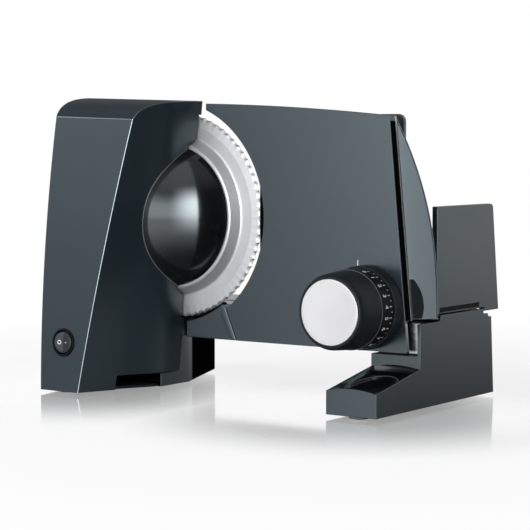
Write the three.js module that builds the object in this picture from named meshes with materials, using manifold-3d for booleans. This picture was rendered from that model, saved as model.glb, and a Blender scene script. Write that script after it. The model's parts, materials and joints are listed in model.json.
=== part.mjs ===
// Compact electric food slicer with a round toothed blade, a sliding food carriage
// and a stop plate that a numbered knob sets to the slice thickness.
// Millimetres. x runs along the blade plane, y points to the food carriage and z is up.
// Sizes below are from the blade axis (x), the cutting plane (y) and the underside of
// the mouldings (z). The finished group is moved to the middle of its footprint.
import * as THREE from "three";
import { mergeVertices } from "three/addons/utils/BufferGeometryUtils.js";
import Module from "manifold-3d";

const wasm = await Module();
wasm.setup();

const gap = 0.3;
const wall = 3;
const past = 5;
const roundSides = 36;
const smallSides = 16;

const blade = {
  axisZ: 142,
  radius: 85,
  bevelRadius: 77,
  coneOuter: 66,
  coneInner: 60.4,
  sheet: 1.5,
  edge: 0.5,
  frontY: -2.4,
  potY: -11.4,
  hollowRadius: 72,
  bore: 5.3,
  sides: 64,
};

// Motor housing: its plan is drawn at the floor and at topZ and blends in between, while the
// front and the left edge bow out by a quarter of their swell half-way up.
const tower = {
  topZ: 225,
  loftZ: 250,
  levels: 6,
  frontFloorY: -92,
  frontTopY: -70,
  frontSwell: 12,
  leftFrontX: -73,
  leftSwell: 6.4,
  leftRearX: -91,
  rearY: 0,
  scoopFloor: [[-33, -92], [-20, -60], [-2, -23], [-1, 0]],
  scoopTop: [[9, -70], [14, -50], [20, -32], [24, 0]],
  scoopSteps: 10,
  crestRoll: 0.032,
  crestPivotX: -72,
  crestFrontZ: 223.6,
  crestKneeY: -63,
  crestBackY: -5,
  crestBackZ: 239.4,
  crestSteps: 9,
  pocketRadius: 87.5,
  pocketFrontY: -6.2,
  coneRadius: 68,
  coneFrontY: -12,
  recessFrontY: -60,
  recessTopZ: 12,
};

const dome = { rimRadius: 58.6, rimY: -12.2, apexY: -51, thick: 2.5, rings: 8 };
const panel = {
  frontY: -9.5,
  rearY: -6.5,
  potFrontY: -16.6,
  potRearY: -13.8,
  discRadius: 53,
  floorZ: 12,
  screwRadius: 3.2,
};
const cover = { low: 0.2, high: 2.4 };

const switchSpot = { x: -49.5, z: 40, holeRadius: 10.9, span: 10 };
const bezel = { flange: 12.2, bore: 9.5, bodyRadius: 10.5, frontY: -1.3, backY: 9, rimBackY: -0.3 };
const rocker = { radius: 8.7, frontY: -1.8, middleY: -0.6, backY: 4 };
const switchBody = { width: 17, depth: 14, height: 15, frontY: 9.4 };

const train = {
  moduleSize: 1.5,
  bladeTeeth: 48,
  pinionTeeth: 12,
  knobTeeth: 12,
  addendum: 0.8,
  dedendum: 1.25,
  tipShare: 0.13,
  rootShare: 0.29,
};
const bladeDrive = {
  gearFrontY: -30,
  gearRearY: -22,
  shaftRadius: 5,
  shaftFrontY: -37,
  shaftRearY: -9.8,
  bushRadius: 9,
  bushFrontY: -21,
  bushRearY: -13.6,
  bossRadius: 15,
  bossFrontY: -13.3,
  bossRearY: -11.7,
};
const lock = {
  radius: 40,
  gripRadius: 36,
  frontY: -9.5,
  skirtY: -6.2,
  rearY: -0.6,
  ribHalf: 4,
  ribLength: 34,
};
const motor = {
  angle: THREE.MathUtils.degToRad(220),
  canRadius: 20,
  canFrontY: -73,
  canRearY: -37.4,
  canWall: 2.5,
  noseRadius: 8,
  noseRearY: -36.3,
  armatureRadius: 16,
  armatureFrontY: -69,
  armatureRearY: -42,
  shaftRadius: 2.5,
  shaftFrontY: -69,
  shaftRearY: -20,
};
const bracket = {
  frontY: -36,
  rearY: -33.4,
  postRadius: 4,
  postInset: 5,
  holeRadius: 8.6,
  reach: 26,
  drop: 23,
};

const deck = {
  leftX: -88,
  rightX: 239,
  frontY: 8,
  rearY: 98,
  lowZ: 40,
  topZ: 69,
  stepY: 90,
  stepZ: 65,
  skin: 3.5,
  grooveFrontY: 36,
  grooveRearY: 41,
  grooveZ: 65.6,
  notchLowZ: 55,
  notchHighZ: 58.5,
  notchY: 94,
  ledgeX: 217,
  ledgeZ: 64.6,
  ledgeY: 21,
};
const leftBlock = {
  innerX: -2.3,
  frontY: 0.4,
  turnY: 16,
  rearX: -36,
  lowTopZ: 54,
  toeY: -22,
  toeX: -22,
  toeTopZ: 11,
  bayRearY: 70,
};
const pillar = {
  leftX: 195,
  frontY: -10,
  ledgeZ: 40,
  cheekX: 236,
  skin: 3.5,
  footFrontY: -74,
  footFrontZ: 18,
  footRearZ: 30.7,
};
const dish = { x: 217, y: -37, z: 32, halfX: 19.5, halfY: 32, halfZ: 23, liner: 1.6, sink: 1.5, sides: 24 };
const heel = { leftX: 218, lowRearY: 107.7, topRearY: 103.2, topZ: 62.3 };
const strip = { leftX: 223.8, rightX: 232.8, frontY: -2, rearY: 1.5, lowZ: 40.4, highZ: 64.6 };
const pad = { radius: 8, drop: 2.5 };
const padSpots = {
  front_left: [-58, -74],
  rear_left: [-58, 82],
  front_right: [217, -62],
  rear_right: [217, 84],
};
const gland = { x: -62, z: 22, outer: 8, inner: 4.2, frontY: 98.3, rearY: 106 };

const plate = {
  frontY: -11,
  boxRearY: -2.4,
  faceFrontY: -2.1,
  rearY: 0,
  skin: 3,
  arcRadius: 94,
  arcLowAngle: THREE.MathUtils.degToRad(-52.8),
  topLeftX: 36.5,
  topLeftZ: 234,
  topBendX: 122,
  topBendZ: 231.8,
  topRightX: 210.7,
  topRightZ: 222.8,
  lowRightX: 228,
  lowLeftX: 67.6,
  lowZ: 41.7,
  corner: 2,
  cutX: 213,
  cutY: -7.6,
  cutZ: 66,
};
const guard = {
  leftX: 16,
  seam: 1,
  arcRadius: 88.5,
  webRearY: 7.7,
  webLeftX: 19,
  webRightX: 52,
  webTopZ: 49,
};
const wing = {
  turn: THREE.MathUtils.degToRad(43),
  thick: 2.4,
  lowZ: 67,
  topZ: 220.5,
  bellyZ: 110,
  reach: 22,
  lowReach: 20,
  tip: 0.6,
  fall: 2.1,
  startY: 0.6,
  levels: 12,
};

const knob = {
  x: 191.7,
  z: 75.4,
  frontY: -65,
  faceRadius: 25.3,
  faceThick: 1.6,
  rimRadius: 27.4,
  shoulderRadius: 28.8,
  shoulderY: -62,
  backRadius: 30.6,
  lineY: -38,
  bandRadius: 31,
  bandRearY: -22.6,
  collarRadius: 32.4,
  shaftRadius: 4,
  shaftFrontY: -62.6,
  shaftRearY: -2.8,
  gearFrontY: -7.6,
  gearRearY: -3.9,
  hollowRadius: 26,
  capBackY: -59.6,
  collarBore: 6,
};
const screw = {
  radius: 4.4,
  frontY: -7.6,
  rearY: 52,
  holeRadius: 5.4,
  nutOuter: 8,
  nutFrontY: 12,
  nutRearY: 26,
  nutBore: 4.8,
};
const rods = { leftX: 88, rightX: 208, radius: 3, frontY: -7.4, rearY: 66, bushOuter: 5.6, bushRearY: 24 };

const carriage = {
  leftX: 106,
  rightX: 226,
  tongueX: 229.6,
  frontY: 6,
  rearY: 98,
  lowZ: 69.4,
  topZ: 72.8,
  channelX: 221.5,
  channelFrontY: 25,
  channelRearY: 92,
  wallLeftX: 230,
  wallRightX: 235,
  wallFrontY: 22,
  wallLowRearY: 123,
  wallTopRearY: 113,
  wallTopZ: 153,
  hangZ: 66.5,
  hangY: 98.6,
  corner: 5,
  slotFrontY: 26,
  slotRearY: 90,
  slotLowZ: 70.6,
  slotHighZ: 73.8,
};
const shoe = { frontY: 36.5, rearY: 40.5, lowZ: 66, highZ: 69.1, leftX: 118, rightX: 214 };
const hook = {
  frontY: 94.6,
  innerY: 98.4,
  rearY: 101.6,
  lowZ: 55.6,
  lipZ: 57.9,
  highZ: 69.1,
  leftX: 118,
  rightX: 214,
};
const holder = {
  leftX: 112,
  rightX: 207,
  frontY: 17.5,
  rearY: 21,
  lowZ: 73.6,
  topZ: 224.6,
  corner: 7,
  footLeftX: 180,
  footRearY: 46,
  footTopZ: 80,
  armX: 222.2,
  armRightX: 229.4,
  tongueRightX: 234,
  tongueFrontY: 27,
  tongueRearY: 37,
  tongueLowZ: 71,
  tongueHighZ: 73.4,
  spike: 3.4,
  spikeRadius: 1.6,
  spikeSides: 6,
  spikeRows: 4,
  spikeColumns: 3,
  spikePitch: 22,
  spikeStartX: 138,
  spikeStartZ: 92,
};
const grip = { x: 160, lowZ: 108, highZ: 184, barRadius: 10, barY: 50, postRadius: 7, inset: 10 };

// Solids from closed three.js geometry, for joining and cutting.
function toSolid(geometry) {
  const bare = geometry.clone();
  bare.deleteAttribute("normal");
  bare.deleteAttribute("uv");
  const merged = mergeVertices(bare, 1e-4);
  const vertProperties = Float32Array.from(merged.attributes.position.array);
  const triVerts = Uint32Array.from(merged.index.array);
  if (signedVolume(vertProperties, triVerts) < 0) {
    triVerts.reverse();
  }
  return new wasm.Manifold(new wasm.Mesh({ numProp: 3, vertProperties, triVerts }));
}

function signedVolume(points, triangles) {
  const corner = (i) => new THREE.Vector3().fromArray(points, triangles[i] * 3);
  let sum = 0;
  for (let i = 0; i < triangles.length; i += 3) {
    sum += corner(i).dot(corner(i + 1).cross(corner(i + 2)));
  }
  return sum;
}

function toGeometry(solid) {
  const mesh = solid.getMesh();
  const geometry = new THREE.BufferGeometry();
  geometry.setAttribute("position", new THREE.BufferAttribute(mesh.vertProperties, 3));
  geometry.setIndex(new THREE.BufferAttribute(mesh.triVerts, 1));
  geometry.computeVertexNormals();
  return geometry;
}

function box(x0, x1, y0, y1, z0, z1) {
  const geometry = new THREE.BoxGeometry(x1 - x0, y1 - y0, z1 - z0);
  return toSolid(geometry.translate((x0 + x1) / 2, (y0 + y1) / 2, (z0 + z1) / 2));
}

function extrude(shape, depth) {
  return new THREE.ExtrudeGeometry(shape, { depth, bevelEnabled: false, curveSegments: smallSides });
}

// An outline drawn in x and z, given thickness from y0 to y1.
function slabY(shape, y0, y1) {
  return toSolid(extrude(shape, y1 - y0).rotateX(Math.PI / 2).translate(0, y1, 0));
}

// An outline drawn in y and z, given thickness from x0 to x1.
function slabX(shape, x0, x1) {
  const toYz = new THREE.Matrix4().makeBasis(
    new THREE.Vector3(0, 1, 0),
    new THREE.Vector3(0, 0, 1),
    new THREE.Vector3(1, 0, 0),
  );
  return toSolid(extrude(shape, x1 - x0).applyMatrix4(toYz).translate(x0, 0, 0));
}

// An outline drawn in x and y, given thickness from z0 to z1.
function slabZ(shape, z0, z1) {
  return toSolid(extrude(shape, z1 - z0).translate(0, 0, z0));
}

function polygon(points) {
  return new THREE.Shape(points.map(([a, b]) => new THREE.Vector2(a, b)));
}

// A profile of radius and y, turned about an axis along y through x and z.
function turned(profile, x, z, sides = roundSides) {
  const points = profile.map(([r, y]) => new THREE.Vector2(r, y));
  return toSolid(new THREE.LatheGeometry(points, sides).translate(x, 0, z));
}

function ring(x, z, inner, outer, y0, y1, sides = roundSides) {
  return turned([[inner, y0], [outer, y0], [outer, y1], [inner, y1], [inner, y0]], x, z, sides);
}

function rod(x, z, radius, y0, y1, sides = smallSides) {
  const geometry = new THREE.CylinderGeometry(radius, radius, y1 - y0, sides);
  return toSolid(geometry.translate(x, (y0 + y1) / 2, z));
}

function upright(x, y, radius, z0, z1, sides = smallSides) {
  const geometry = new THREE.CylinderGeometry(radius, radius, z1 - z0, sides).rotateX(Math.PI / 2);
  return toSolid(geometry.translate(x, y, (z0 + z1) / 2));
}

// The dish hollow, drawn in from its full size by the given inset.
function dishSolid(inset) {
  const ball = new THREE.SphereGeometry(1, dish.sides, dish.sides / 2);
  ball.scale(dish.halfX - inset, dish.halfY - inset, dish.halfZ - inset);
  return toSolid(ball.translate(dish.x, dish.y, dish.z));
}

// Closed skin over a stack of plan outlines that have the same number of points.
function loft(sections) {
  const count = sections[0].length;
  const positions = sections.flat().flatMap((p) => p.toArray());
  const faces = [];
  for (let level = 0; level + 1 < sections.length; level += 1) {
    for (let i = 0; i < count; i += 1) {
      const a = level * count + i;
      const b = level * count + ((i + 1) % count);
      faces.push(a, b, b + count, a, b + count, a + count);
    }
  }
  const flat = (section) => section.map((p) => new THREE.Vector2(p.x, p.y));
  const last = (sections.length - 1) * count;
  for (const [a, b, c] of THREE.ShapeUtils.triangulateShape(flat(sections[0]), [])) {
    faces.push(c, b, a);
  }
  for (const [a, b, c] of THREE.ShapeUtils.triangulateShape(flat(sections.at(-1)), [])) {
    faces.push(last + a, last + b, last + c);
  }
  const geometry = new THREE.BufferGeometry();
  geometry.setAttribute("position", new THREE.Float32BufferAttribute(positions, 3));
  geometry.setIndex(faces);
  return toSolid(geometry);
}

// Gear outline with straight-flanked teeth, one of them centred on the given angle.
function gearShape(teeth, toothAngle) {
  const pitch = (teeth * train.moduleSize) / 2;
  const tip = pitch + train.addendum * train.moduleSize;
  const root = pitch - train.dedendum * train.moduleSize;
  const step = (2 * Math.PI) / teeth;
  const points = [];
  for (let i = 0; i < teeth; i += 1) {
    const middle = toothAngle + i * step;
    for (const [radius, share] of [
      [root, -train.rootShare],
      [tip, -train.tipShare],
      [tip, train.tipShare],
      [root, train.rootShare],
    ]) {
      const angle = middle + share * step;
      points.push([radius * Math.cos(angle), radius * Math.sin(angle)]);
    }
  }
  return polygon(points);
}

function gear(teeth, toothAngle, x, z, y0, y1, bore) {
  return slabY(gearShape(teeth, toothAngle), y0, y1)
    .translate([x, 0, z])
    .subtract(rod(x, z, bore, y0 - past, y1 + past));
}

const group = new THREE.Group();
group.name = "food_slicer";

const finishes = {
  housing: { color: 0x4a535a, roughness: 0.32, metalness: 0 },
  black: { color: 0x16181b, roughness: 0.3, metalness: 0 },
  gloss: { color: 0x08090b, roughness: 0.08, metalness: 0 },
  steel: { color: 0xd3d5d6, roughness: 0.28, metalness: 1 },
  aluminium: { color: 0xd9dadb, roughness: 0.4, metalness: 1 },
  brass: { color: 0xb08d4c, roughness: 0.35, metalness: 1 },
  nylon: { color: 0xe4e0d4, roughness: 0.5, metalness: 0 },
  rubber: { color: 0x1d1d1d, roughness: 0.85, metalness: 0 },
};

function add(name, solid, finish, parent = group) {
  const mesh = new THREE.Mesh(toGeometry(solid), new THREE.MeshStandardMaterial(finishes[finish]));
  mesh.name = name;
  parent.add(mesh);
  return mesh;
}

// Motor housing

function faceY(z) {
  const t = z / tower.topZ;
  const bow = tower.frontSwell * t * (1 - t);
  return tower.frontFloorY + (tower.frontTopY - tower.frontFloorY) * t - bow;
}

function towerPlan(z, inset) {
  const t = z / tower.topZ;
  const mix = (floor, top) => floor + (top - floor) * t;
  const bow = t * (1 - t);
  const frontY = faceY(z) + inset;
  const leftX = tower.leftFrontX - tower.leftSwell * bow + inset;
  const rearY = inset > 0 ? tower.rearY + past : tower.rearY;
  const scoop = tower.scoopFloor.map(([x, y], i) => {
    const [topX, topY] = tower.scoopTop[i];
    const forward = i === 0 ? tower.frontSwell * bow : 0;
    return new THREE.Vector2(mix(x, topX) - inset, mix(y, topY) - forward);
  });
  const side = new THREE.SplineCurve(scoop).getPoints(tower.scoopSteps);
  side[0].y = frontY;
  side.at(-1).y = rearY;
  const loop = [
    new THREE.Vector2(tower.leftRearX + inset, rearY),
    new THREE.Vector2(leftX, frontY),
    ...side,
  ];
  return loop.map((p) => new THREE.Vector3(p.x, p.y, z));
}

function towerTop(inset) {
  const shape = new THREE.Shape();
  const frontY = tower.frontTopY + inset;
  shape.moveTo(tower.rearY + 2 * past, -2 * past);
  shape.lineTo(tower.rearY + 2 * past, tower.crestBackZ - inset);
  shape.lineTo(tower.crestBackY, tower.crestBackZ - inset);
  const steps = tower.crestSteps;
  const curve = new THREE.QuadraticBezierCurve(
    new THREE.Vector2(tower.crestBackY, tower.crestBackZ - inset),
    new THREE.Vector2(tower.crestKneeY + inset, tower.crestBackZ - inset),
    new THREE.Vector2(frontY, tower.crestFrontZ - inset),
  );
  curve.getPoints(steps).slice(1).forEach((p) => shape.lineTo(p.x, p.y));
  shape.lineTo(tower.frontFloorY - 2 * past, tower.crestFrontZ - inset - past);
  shape.lineTo(tower.frontFloorY - 2 * past, -2 * past);
  return slabX(shape, 2 * tower.leftRearX, -2 * tower.leftRearX)
    .translate([-tower.crestPivotX, 0, 0])
    .rotate([0, THREE.MathUtils.radToDeg(tower.crestRoll), 0])
    .translate([tower.crestPivotX, 0, 0]);
}

function towerSolid(inset) {
  const sections = [];
  const low = inset > 0 ? -past : 0;
  for (let i = 0; i <= tower.levels; i += 1) {
    sections.push(towerPlan(low + ((tower.loftZ - low) * i) / tower.levels, inset));
  }
  return loft(sections).intersect(towerTop(inset));
}

const domeSag = dome.rimY - dome.apexY;
const domeRadius = (dome.rimRadius ** 2 + domeSag ** 2) / (2 * domeSag);
const domeCentreY = dome.apexY + domeRadius;

function domeProfile(radius, y) {
  return Math.sqrt(radius ** 2 - (y - domeCentreY) ** 2);
}

const switchY = faceY(switchSpot.z);
const { z: switchZ, span } = switchSpot;
const faceLean = Math.atan2(faceY(switchZ + span) - faceY(switchZ - span), 2 * span);
const switchGroup = new THREE.Group();
switchGroup.position.set(switchSpot.x, switchY, switchSpot.z);
switchGroup.rotation.x = -faceLean;
group.add(switchGroup);

function buildHousing() {
  const ball = new THREE.SphereGeometry(domeRadius + gap, roundSides, roundSides / 2);
  const domeHole = toSolid(ball.translate(0, domeCentreY, blade.axisZ));
  const switchHole = rod(0, 0, switchSpot.holeRadius, -past, 2 * past, roundSides)
    .rotate([-THREE.MathUtils.radToDeg(faceLean), 0, 0])
    .translate([switchSpot.x, switchY, switchSpot.z]);
  const pocket = rod(0, blade.axisZ, tower.pocketRadius, tower.pocketFrontY, past, blade.sides);
  const conePocket = rod(0, blade.axisZ, tower.coneRadius, tower.coneFrontY, past, blade.sides);
  const recess = box(leftBlock.toeX, 2 * past, tower.recessFrontY, past, -past, tower.recessTopZ);
  const shell = towerSolid(0)
    .subtract(towerSolid(wall))
    .subtract(domeHole)
    .subtract(switchHole)
    .subtract(pocket)
    .subtract(conePocket)
    .subtract(recess);
  add("motor_housing", shell, "housing");
}

function buildDome() {
  const inner = domeRadius - dome.thick;
  const profile = [];
  for (let i = 0; i <= dome.rings; i += 1) {
    const turn = (i / dome.rings) * Math.asin(dome.rimRadius / domeRadius);
    profile.push([domeRadius * Math.sin(turn), domeCentreY - domeRadius * Math.cos(turn)]);
  }
  const innerRim = domeProfile(inner, dome.rimY);
  for (let i = dome.rings; i >= 0; i -= 1) {
    const turn = (i / dome.rings) * Math.asin(innerRim / inner);
    profile.push([inner * Math.sin(turn), domeCentreY - inner * Math.cos(turn)]);
  }
  const cap = turned(profile, 0, blade.axisZ, roundSides);
  add("dome_cover", cap.subtract(towerSolid(wall)), "gloss");
}

const driveSpan = ((train.bladeTeeth + train.pinionTeeth) / 2) * train.moduleSize;
const motorX = driveSpan * Math.cos(motor.angle);
const motorZ = blade.axisZ + driveSpan * Math.sin(motor.angle);
const panelScrewSpots = [[-76, 214], [-10, 216], [-76, 72], [-16, 66]];

function buildRearPanel() {
  const { frontY, rearY, potFrontY, potRearY } = panel;
  const inside = towerSolid(wall + gap);
  const potRadius = tower.coneRadius;
  let solid = box(tower.leftRearX, dome.rimRadius, frontY, rearY, panel.floorZ, tower.loftZ)
    .add(rod(0, blade.axisZ, potRadius + wall, potFrontY, rearY, roundSides))
    .subtract(rod(0, blade.axisZ, potRadius, potRearY, past, roundSides))
    .intersect(inside)
    .add(rod(0, blade.axisZ, panel.discRadius, potFrontY, potRearY, roundSides))
    .subtract(rod(0, blade.axisZ, bladeDrive.bushRadius + gap, 2 * potFrontY, past));
  panelScrewSpots.forEach(([x, z], i) => {
    solid = solid.subtract(rod(x, z, panel.screwRadius / 2 + gap, 2 * potFrontY, past));
    const shank = rod(x, z, panel.screwRadius / 2, frontY - past, rearY + gap);
    const head = rod(x, z, panel.screwRadius, rearY + gap, rearY + gap + panel.screwRadius / 2);
    add(`panel_screw_${i + 1}`, shank.add(head), "steel");
  });
  add("rear_panel", solid, "black");
}

function buildHousingFloor() {
  const sheet = box(tower.leftRearX, past, tower.frontFloorY, tower.rearY - gap, cover.low, cover.high);
  const toeClear = box(leftBlock.toeX - gap, past, leftBlock.toeY - gap, past, -past, leftBlock.toeTopZ);
  add("housing_floor", sheet.intersect(towerSolid(wall + gap)).subtract(toeClear), "black");
}

function buildSwitch() {
  const rim = ring(0, 0, bezel.bore, bezel.flange, bezel.frontY, bezel.rimBackY);
  const tube = ring(0, 0, bezel.bore, bezel.bodyRadius, bezel.frontY, bezel.backY);
  add("switch_bezel", rim.add(tube), "black", switchGroup);
  const flat = polygon([
    [-rocker.radius, rocker.frontY],
    [0, rocker.middleY],
    [rocker.radius, rocker.frontY],
    [rocker.radius, rocker.backY],
    [-rocker.radius, rocker.backY],
  ]);
  const wedge = slabZ(flat, -rocker.radius, rocker.radius);
  const button = wedge.intersect(rod(0, 0, rocker.radius, 2 * rocker.frontY, 2 * rocker.backY, roundSides));
  add("switch_rocker", button, "black", switchGroup);
  const half = switchBody.width / 2;
  const tall = switchBody.height / 2;
  const body = box(-half, half, switchBody.frontY, switchBody.frontY + switchBody.depth, -tall, tall);
  add("switch_body", body, "black", switchGroup);
}

function buildDrive() {
  const { bore, radius } = blade;
  const profile = [
    [bore, blade.potY],
    [blade.coneInner, blade.potY],
    [blade.coneOuter, blade.frontY],
    [blade.bevelRadius, blade.frontY],
    [radius, -blade.edge],
    [radius, 0],
    [blade.hollowRadius, 0],
    [blade.coneOuter, blade.frontY + blade.sheet],
    [blade.coneInner, blade.potY + blade.sheet],
    [bore, blade.potY + blade.sheet],
    [bore, blade.potY],
  ];
  add("blade", turned(profile, 0, blade.axisZ, blade.sides), "steel");
  const { gearFrontY, gearRearY, shaftRadius } = bladeDrive;
  const shaft = rod(0, blade.axisZ, shaftRadius, bladeDrive.shaftFrontY, bladeDrive.shaftRearY);
  add("blade_shaft", shaft, "steel");
  const gearBore = shaftRadius + gap;
  const bladeGear = gear(train.bladeTeeth, motor.angle, 0, blade.axisZ, gearFrontY, gearRearY, gearBore);
  add("blade_gear", bladeGear, "nylon");
  const bushBore = shaftRadius + gap;
  const { bushRadius, bushFrontY, bushRearY } = bladeDrive;
  add("shaft_bush", ring(0, blade.axisZ, bushBore, bushRadius, bushFrontY, bushRearY), "brass");
  const { bossRadius, bossFrontY, bossRearY } = bladeDrive;
  add("drive_boss", ring(0, blade.axisZ, gearBore, bossRadius, bossFrontY, bossRearY), "black");
  const lockProfile = [
    [0, lock.frontY],
    [lock.radius, lock.frontY],
    [lock.radius, lock.skirtY],
    [lock.gripRadius, lock.skirtY + gap],
    [0, lock.skirtY + gap],
  ];
  const bar = box(-lock.ribLength, lock.ribLength, lock.skirtY, lock.rearY, -lock.ribHalf, lock.ribHalf);
  add("blade_lock", turned(lockProfile, 0, blade.axisZ).add(bar.translate([0, 0, blade.axisZ])), "black");
}

function buildMotor() {
  const { canRadius, canWall, canFrontY, canRearY } = motor;
  const can = rod(motorX, motorZ, canRadius, canFrontY, canRearY, roundSides);
  const bore = motor.shaftRadius + gap;
  const nose = ring(motorX, motorZ, bore, motor.noseRadius, canRearY, motor.noseRearY);
  const hollowRadius = canRadius - canWall;
  const inside = rod(motorX, motorZ, hollowRadius, canFrontY + canWall, canRearY - canWall, roundSides);
  const well = rod(motorX, motorZ, bore, canRearY - past, past);
  add("motor_can", can.add(nose).subtract(inside).subtract(well), "steel");
  const { armatureRadius, armatureFrontY, armatureRearY } = motor;
  add("motor_armature", ring(motorX, motorZ, bore, armatureRadius, armatureFrontY, armatureRearY), "steel");
  const shaft = rod(motorX, motorZ, motor.shaftRadius, motor.shaftFrontY, motor.shaftRearY);
  add("motor_shaft", shaft, "steel");
  const toothAngle = motor.angle + Math.PI + Math.PI / train.pinionTeeth;
  const { gearFrontY, gearRearY } = bladeDrive;
  const pinion = gear(train.pinionTeeth, toothAngle, motorX, motorZ, gearFrontY - gap, gearRearY + gap, bore);
  add("motor_pinion", pinion, "brass");
  const { reach, drop, frontY, rearY } = bracket;
  let frame = box(motorX - reach, motorX + drop, frontY, rearY, motorZ - drop, motorZ + drop);
  frame = frame.subtract(rod(motorX, motorZ, bracket.holeRadius, 2 * frontY, past, roundSides));
  const inset = bracket.postInset;
  const corners = [
    [motorX - reach + inset, motorZ - drop + inset],
    [motorX - reach + inset, motorZ + drop - inset],
    [motorX + drop - inset, motorZ - drop + inset],
  ];
  for (const [x, z] of corners) {
    frame = frame.add(rod(x, z, bracket.postRadius, frontY, panel.potFrontY - gap));
  }
  add("motor_bracket", frame.intersect(towerSolid(wall + gap)), "black");
}

// Base

function footTop(extra) {
  return polygon([
    [pillar.footFrontY - extra, -extra],
    [pillar.footFrontY - extra, pillar.footFrontZ],
    [pillar.frontY + wall, pillar.footRearZ],
    [pillar.frontY + wall, -extra],
  ]);
}

function buildBase() {
  const { leftX, rightX, frontY, rearY, lowZ, topZ } = deck;
  let frame = box(leftX, rightX, frontY, rearY, lowZ, topZ);
  const left = polygon([
    [leftX, leftBlock.frontY],
    [leftBlock.innerX, leftBlock.frontY],
    [leftBlock.innerX, leftBlock.turnY],
    [leftBlock.rearX, rearY],
    [leftX, rearY],
  ]);
  frame = frame.add(slabZ(left, 0, leftBlock.lowTopZ));
  const toeRearY = leftBlock.frontY + wall;
  const toe = box(leftBlock.toeX, leftBlock.innerX, leftBlock.toeY, toeRearY, 0, leftBlock.toeTopZ);
  frame = frame.add(toe);
  frame = frame.add(box(pillar.leftX, rightX, pillar.frontY, rearY, 0, pillar.ledgeZ));
  frame = frame.add(box(pillar.cheekX, rightX, pillar.frontY, deck.ledgeY, 0, deck.ledgeZ));
  const { ledgeX, ledgeY, ledgeZ } = deck;
  frame = frame.subtract(box(ledgeX, rightX + past, frontY - gap, ledgeY, ledgeZ, topZ + past));
  frame = frame.subtract(box(leftX - past, rightX + past, deck.stepY, rearY + past, deck.stepZ, topZ + past));
  const { grooveFrontY, grooveRearY, grooveZ } = deck;
  frame = frame.subtract(box(leftX + wall, rightX - wall, grooveFrontY, grooveRearY, grooveZ, topZ + past));
  const { notchLowZ, notchHighZ, notchY } = deck;
  frame = frame.subtract(box(leftX - past, rightX - wall, notchY, rearY + past, notchLowZ, notchHighZ));
  const heelShape = polygon([
    [rearY - wall, 0],
    [heel.lowRearY, 0],
    [heel.topRearY, heel.topZ],
    [rearY - wall, heel.topZ],
  ]);
  frame = frame.add(slabX(heelShape, heel.leftX, rightX));
  const skin = deck.skin;
  const ceiling = grooveZ - skin;
  const innerX = leftBlock.innerX + skin;
  const insideY = frontY + skin;
  const backY = notchY - skin;
  const under = box(innerX, rightX - skin, insideY, backY, lowZ - skin, ceiling);
  const well = box(pillar.leftX + skin, rightX - skin, pillar.frontY + skin, backY, -past, lowZ - skin);
  const neck = box(pillar.leftX + skin, rightX - skin, insideY, backY, -past, lowZ);
  const { rearX: bayX, frontY: bayY, bayRearY } = leftBlock;
  const bay = box(leftX + skin, bayX - skin, bayY + skin, bayRearY, -past, lowZ);
  const high = box(innerX, deck.ledgeX - skin, insideY, grooveFrontY - skin, lowZ, topZ - skin);
  frame = frame.subtract(under).subtract(high).subtract(well).subtract(neck).subtract(bay);
  for (const x of [rods.leftX, rods.rightX]) {
    frame = frame.subtract(rod(x, screwZ, rods.bushOuter + gap, 0, frontY + 2 * skin));
  }
  frame = frame.subtract(rod(knob.x, screwZ, screw.holeRadius, 0, frontY + 2 * skin));
  frame = frame.subtract(rod(gland.x, gland.z, gland.inner, bayRearY - past, gland.rearY));
  add("base_frame", frame, "housing");
}

const screwZ = knob.z - train.knobTeeth * train.moduleSize;

function buildFoot() {
  const { leftX, frontY, footFrontY, ledgeZ } = pillar;
  const front = box(leftX, deck.rightX, footFrontY, frontY - gap, 0, ledgeZ);
  const solid = slabX(footTop(0), leftX, deck.rightX).intersect(front);
  add("pillar_foot", solid.subtract(dishSolid(0)), "housing");
}

function buildBaseTrim() {
  const bowl = dishSolid(gap).subtract(dishSolid(gap + dish.liner));
  const below = slabX(footTop(past), pillar.leftX, deck.rightX).translate([0, 0, -dish.sink]);
  const keepFront = box(pillar.leftX, deck.rightX, pillar.footFrontY, pillar.frontY - gap, 0, pillar.ledgeZ);
  add("dish_liner", bowl.intersect(below).intersect(keepFront), "gloss");
  const bar = box(strip.leftX, strip.rightX, strip.frontY, strip.rearY, strip.lowZ, strip.highZ);
  add("guide_strip", bar, "steel");
  const skin = pillar.skin + gap;
  const { leftX, frontY } = pillar;
  const lid = box(leftX + skin, deck.rightX - skin, frontY + skin, deck.notchY - skin, cover.low, cover.high);
  add("pillar_floor", lid, "black");
  for (const [place, [x, y]] of Object.entries(padSpots)) {
    add(`pad_${place}`, upright(x, y, pad.radius, -pad.drop, -gap, roundSides / 2), "rubber");
  }
  const sleeve = ring(gland.x, gland.z, gland.inner, gland.outer, gland.frontY, gland.rearY, smallSides);
  add("cord_gland", sleeve, "black");
}

function buildGuard() {
  const low = plate.lowZ;
  const seamTop = arcPoint(plate.arcRadius, plate.arcLowAngle);
  const shape = new THREE.Shape();
  shape.moveTo(guard.leftX, low);
  shape.lineTo(plate.lowLeftX - guard.seam, low);
  shape.lineTo(seamTop[0] - guard.seam, seamTop[1]);
  const start = Math.atan2(seamTop[1] - blade.axisZ, seamTop[0] - guard.seam);
  const end = -Math.acos(guard.leftX / guard.arcRadius);
  shape.absarc(0, blade.axisZ, guard.arcRadius, start, end, true);
  const face = slabY(shape, plate.frontY, plate.rearY);
  const { webLeftX, webRightX, webRearY, webTopZ } = guard;
  const web = box(webLeftX, webRightX, plate.rearY - guard.seam, webRearY, low, webTopZ);
  add("blade_guard", face.add(web), "housing");
}

// Stop plate

function arcPoint(radius, angle) {
  return [radius * Math.cos(angle), blade.axisZ + radius * Math.sin(angle)];
}

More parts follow.
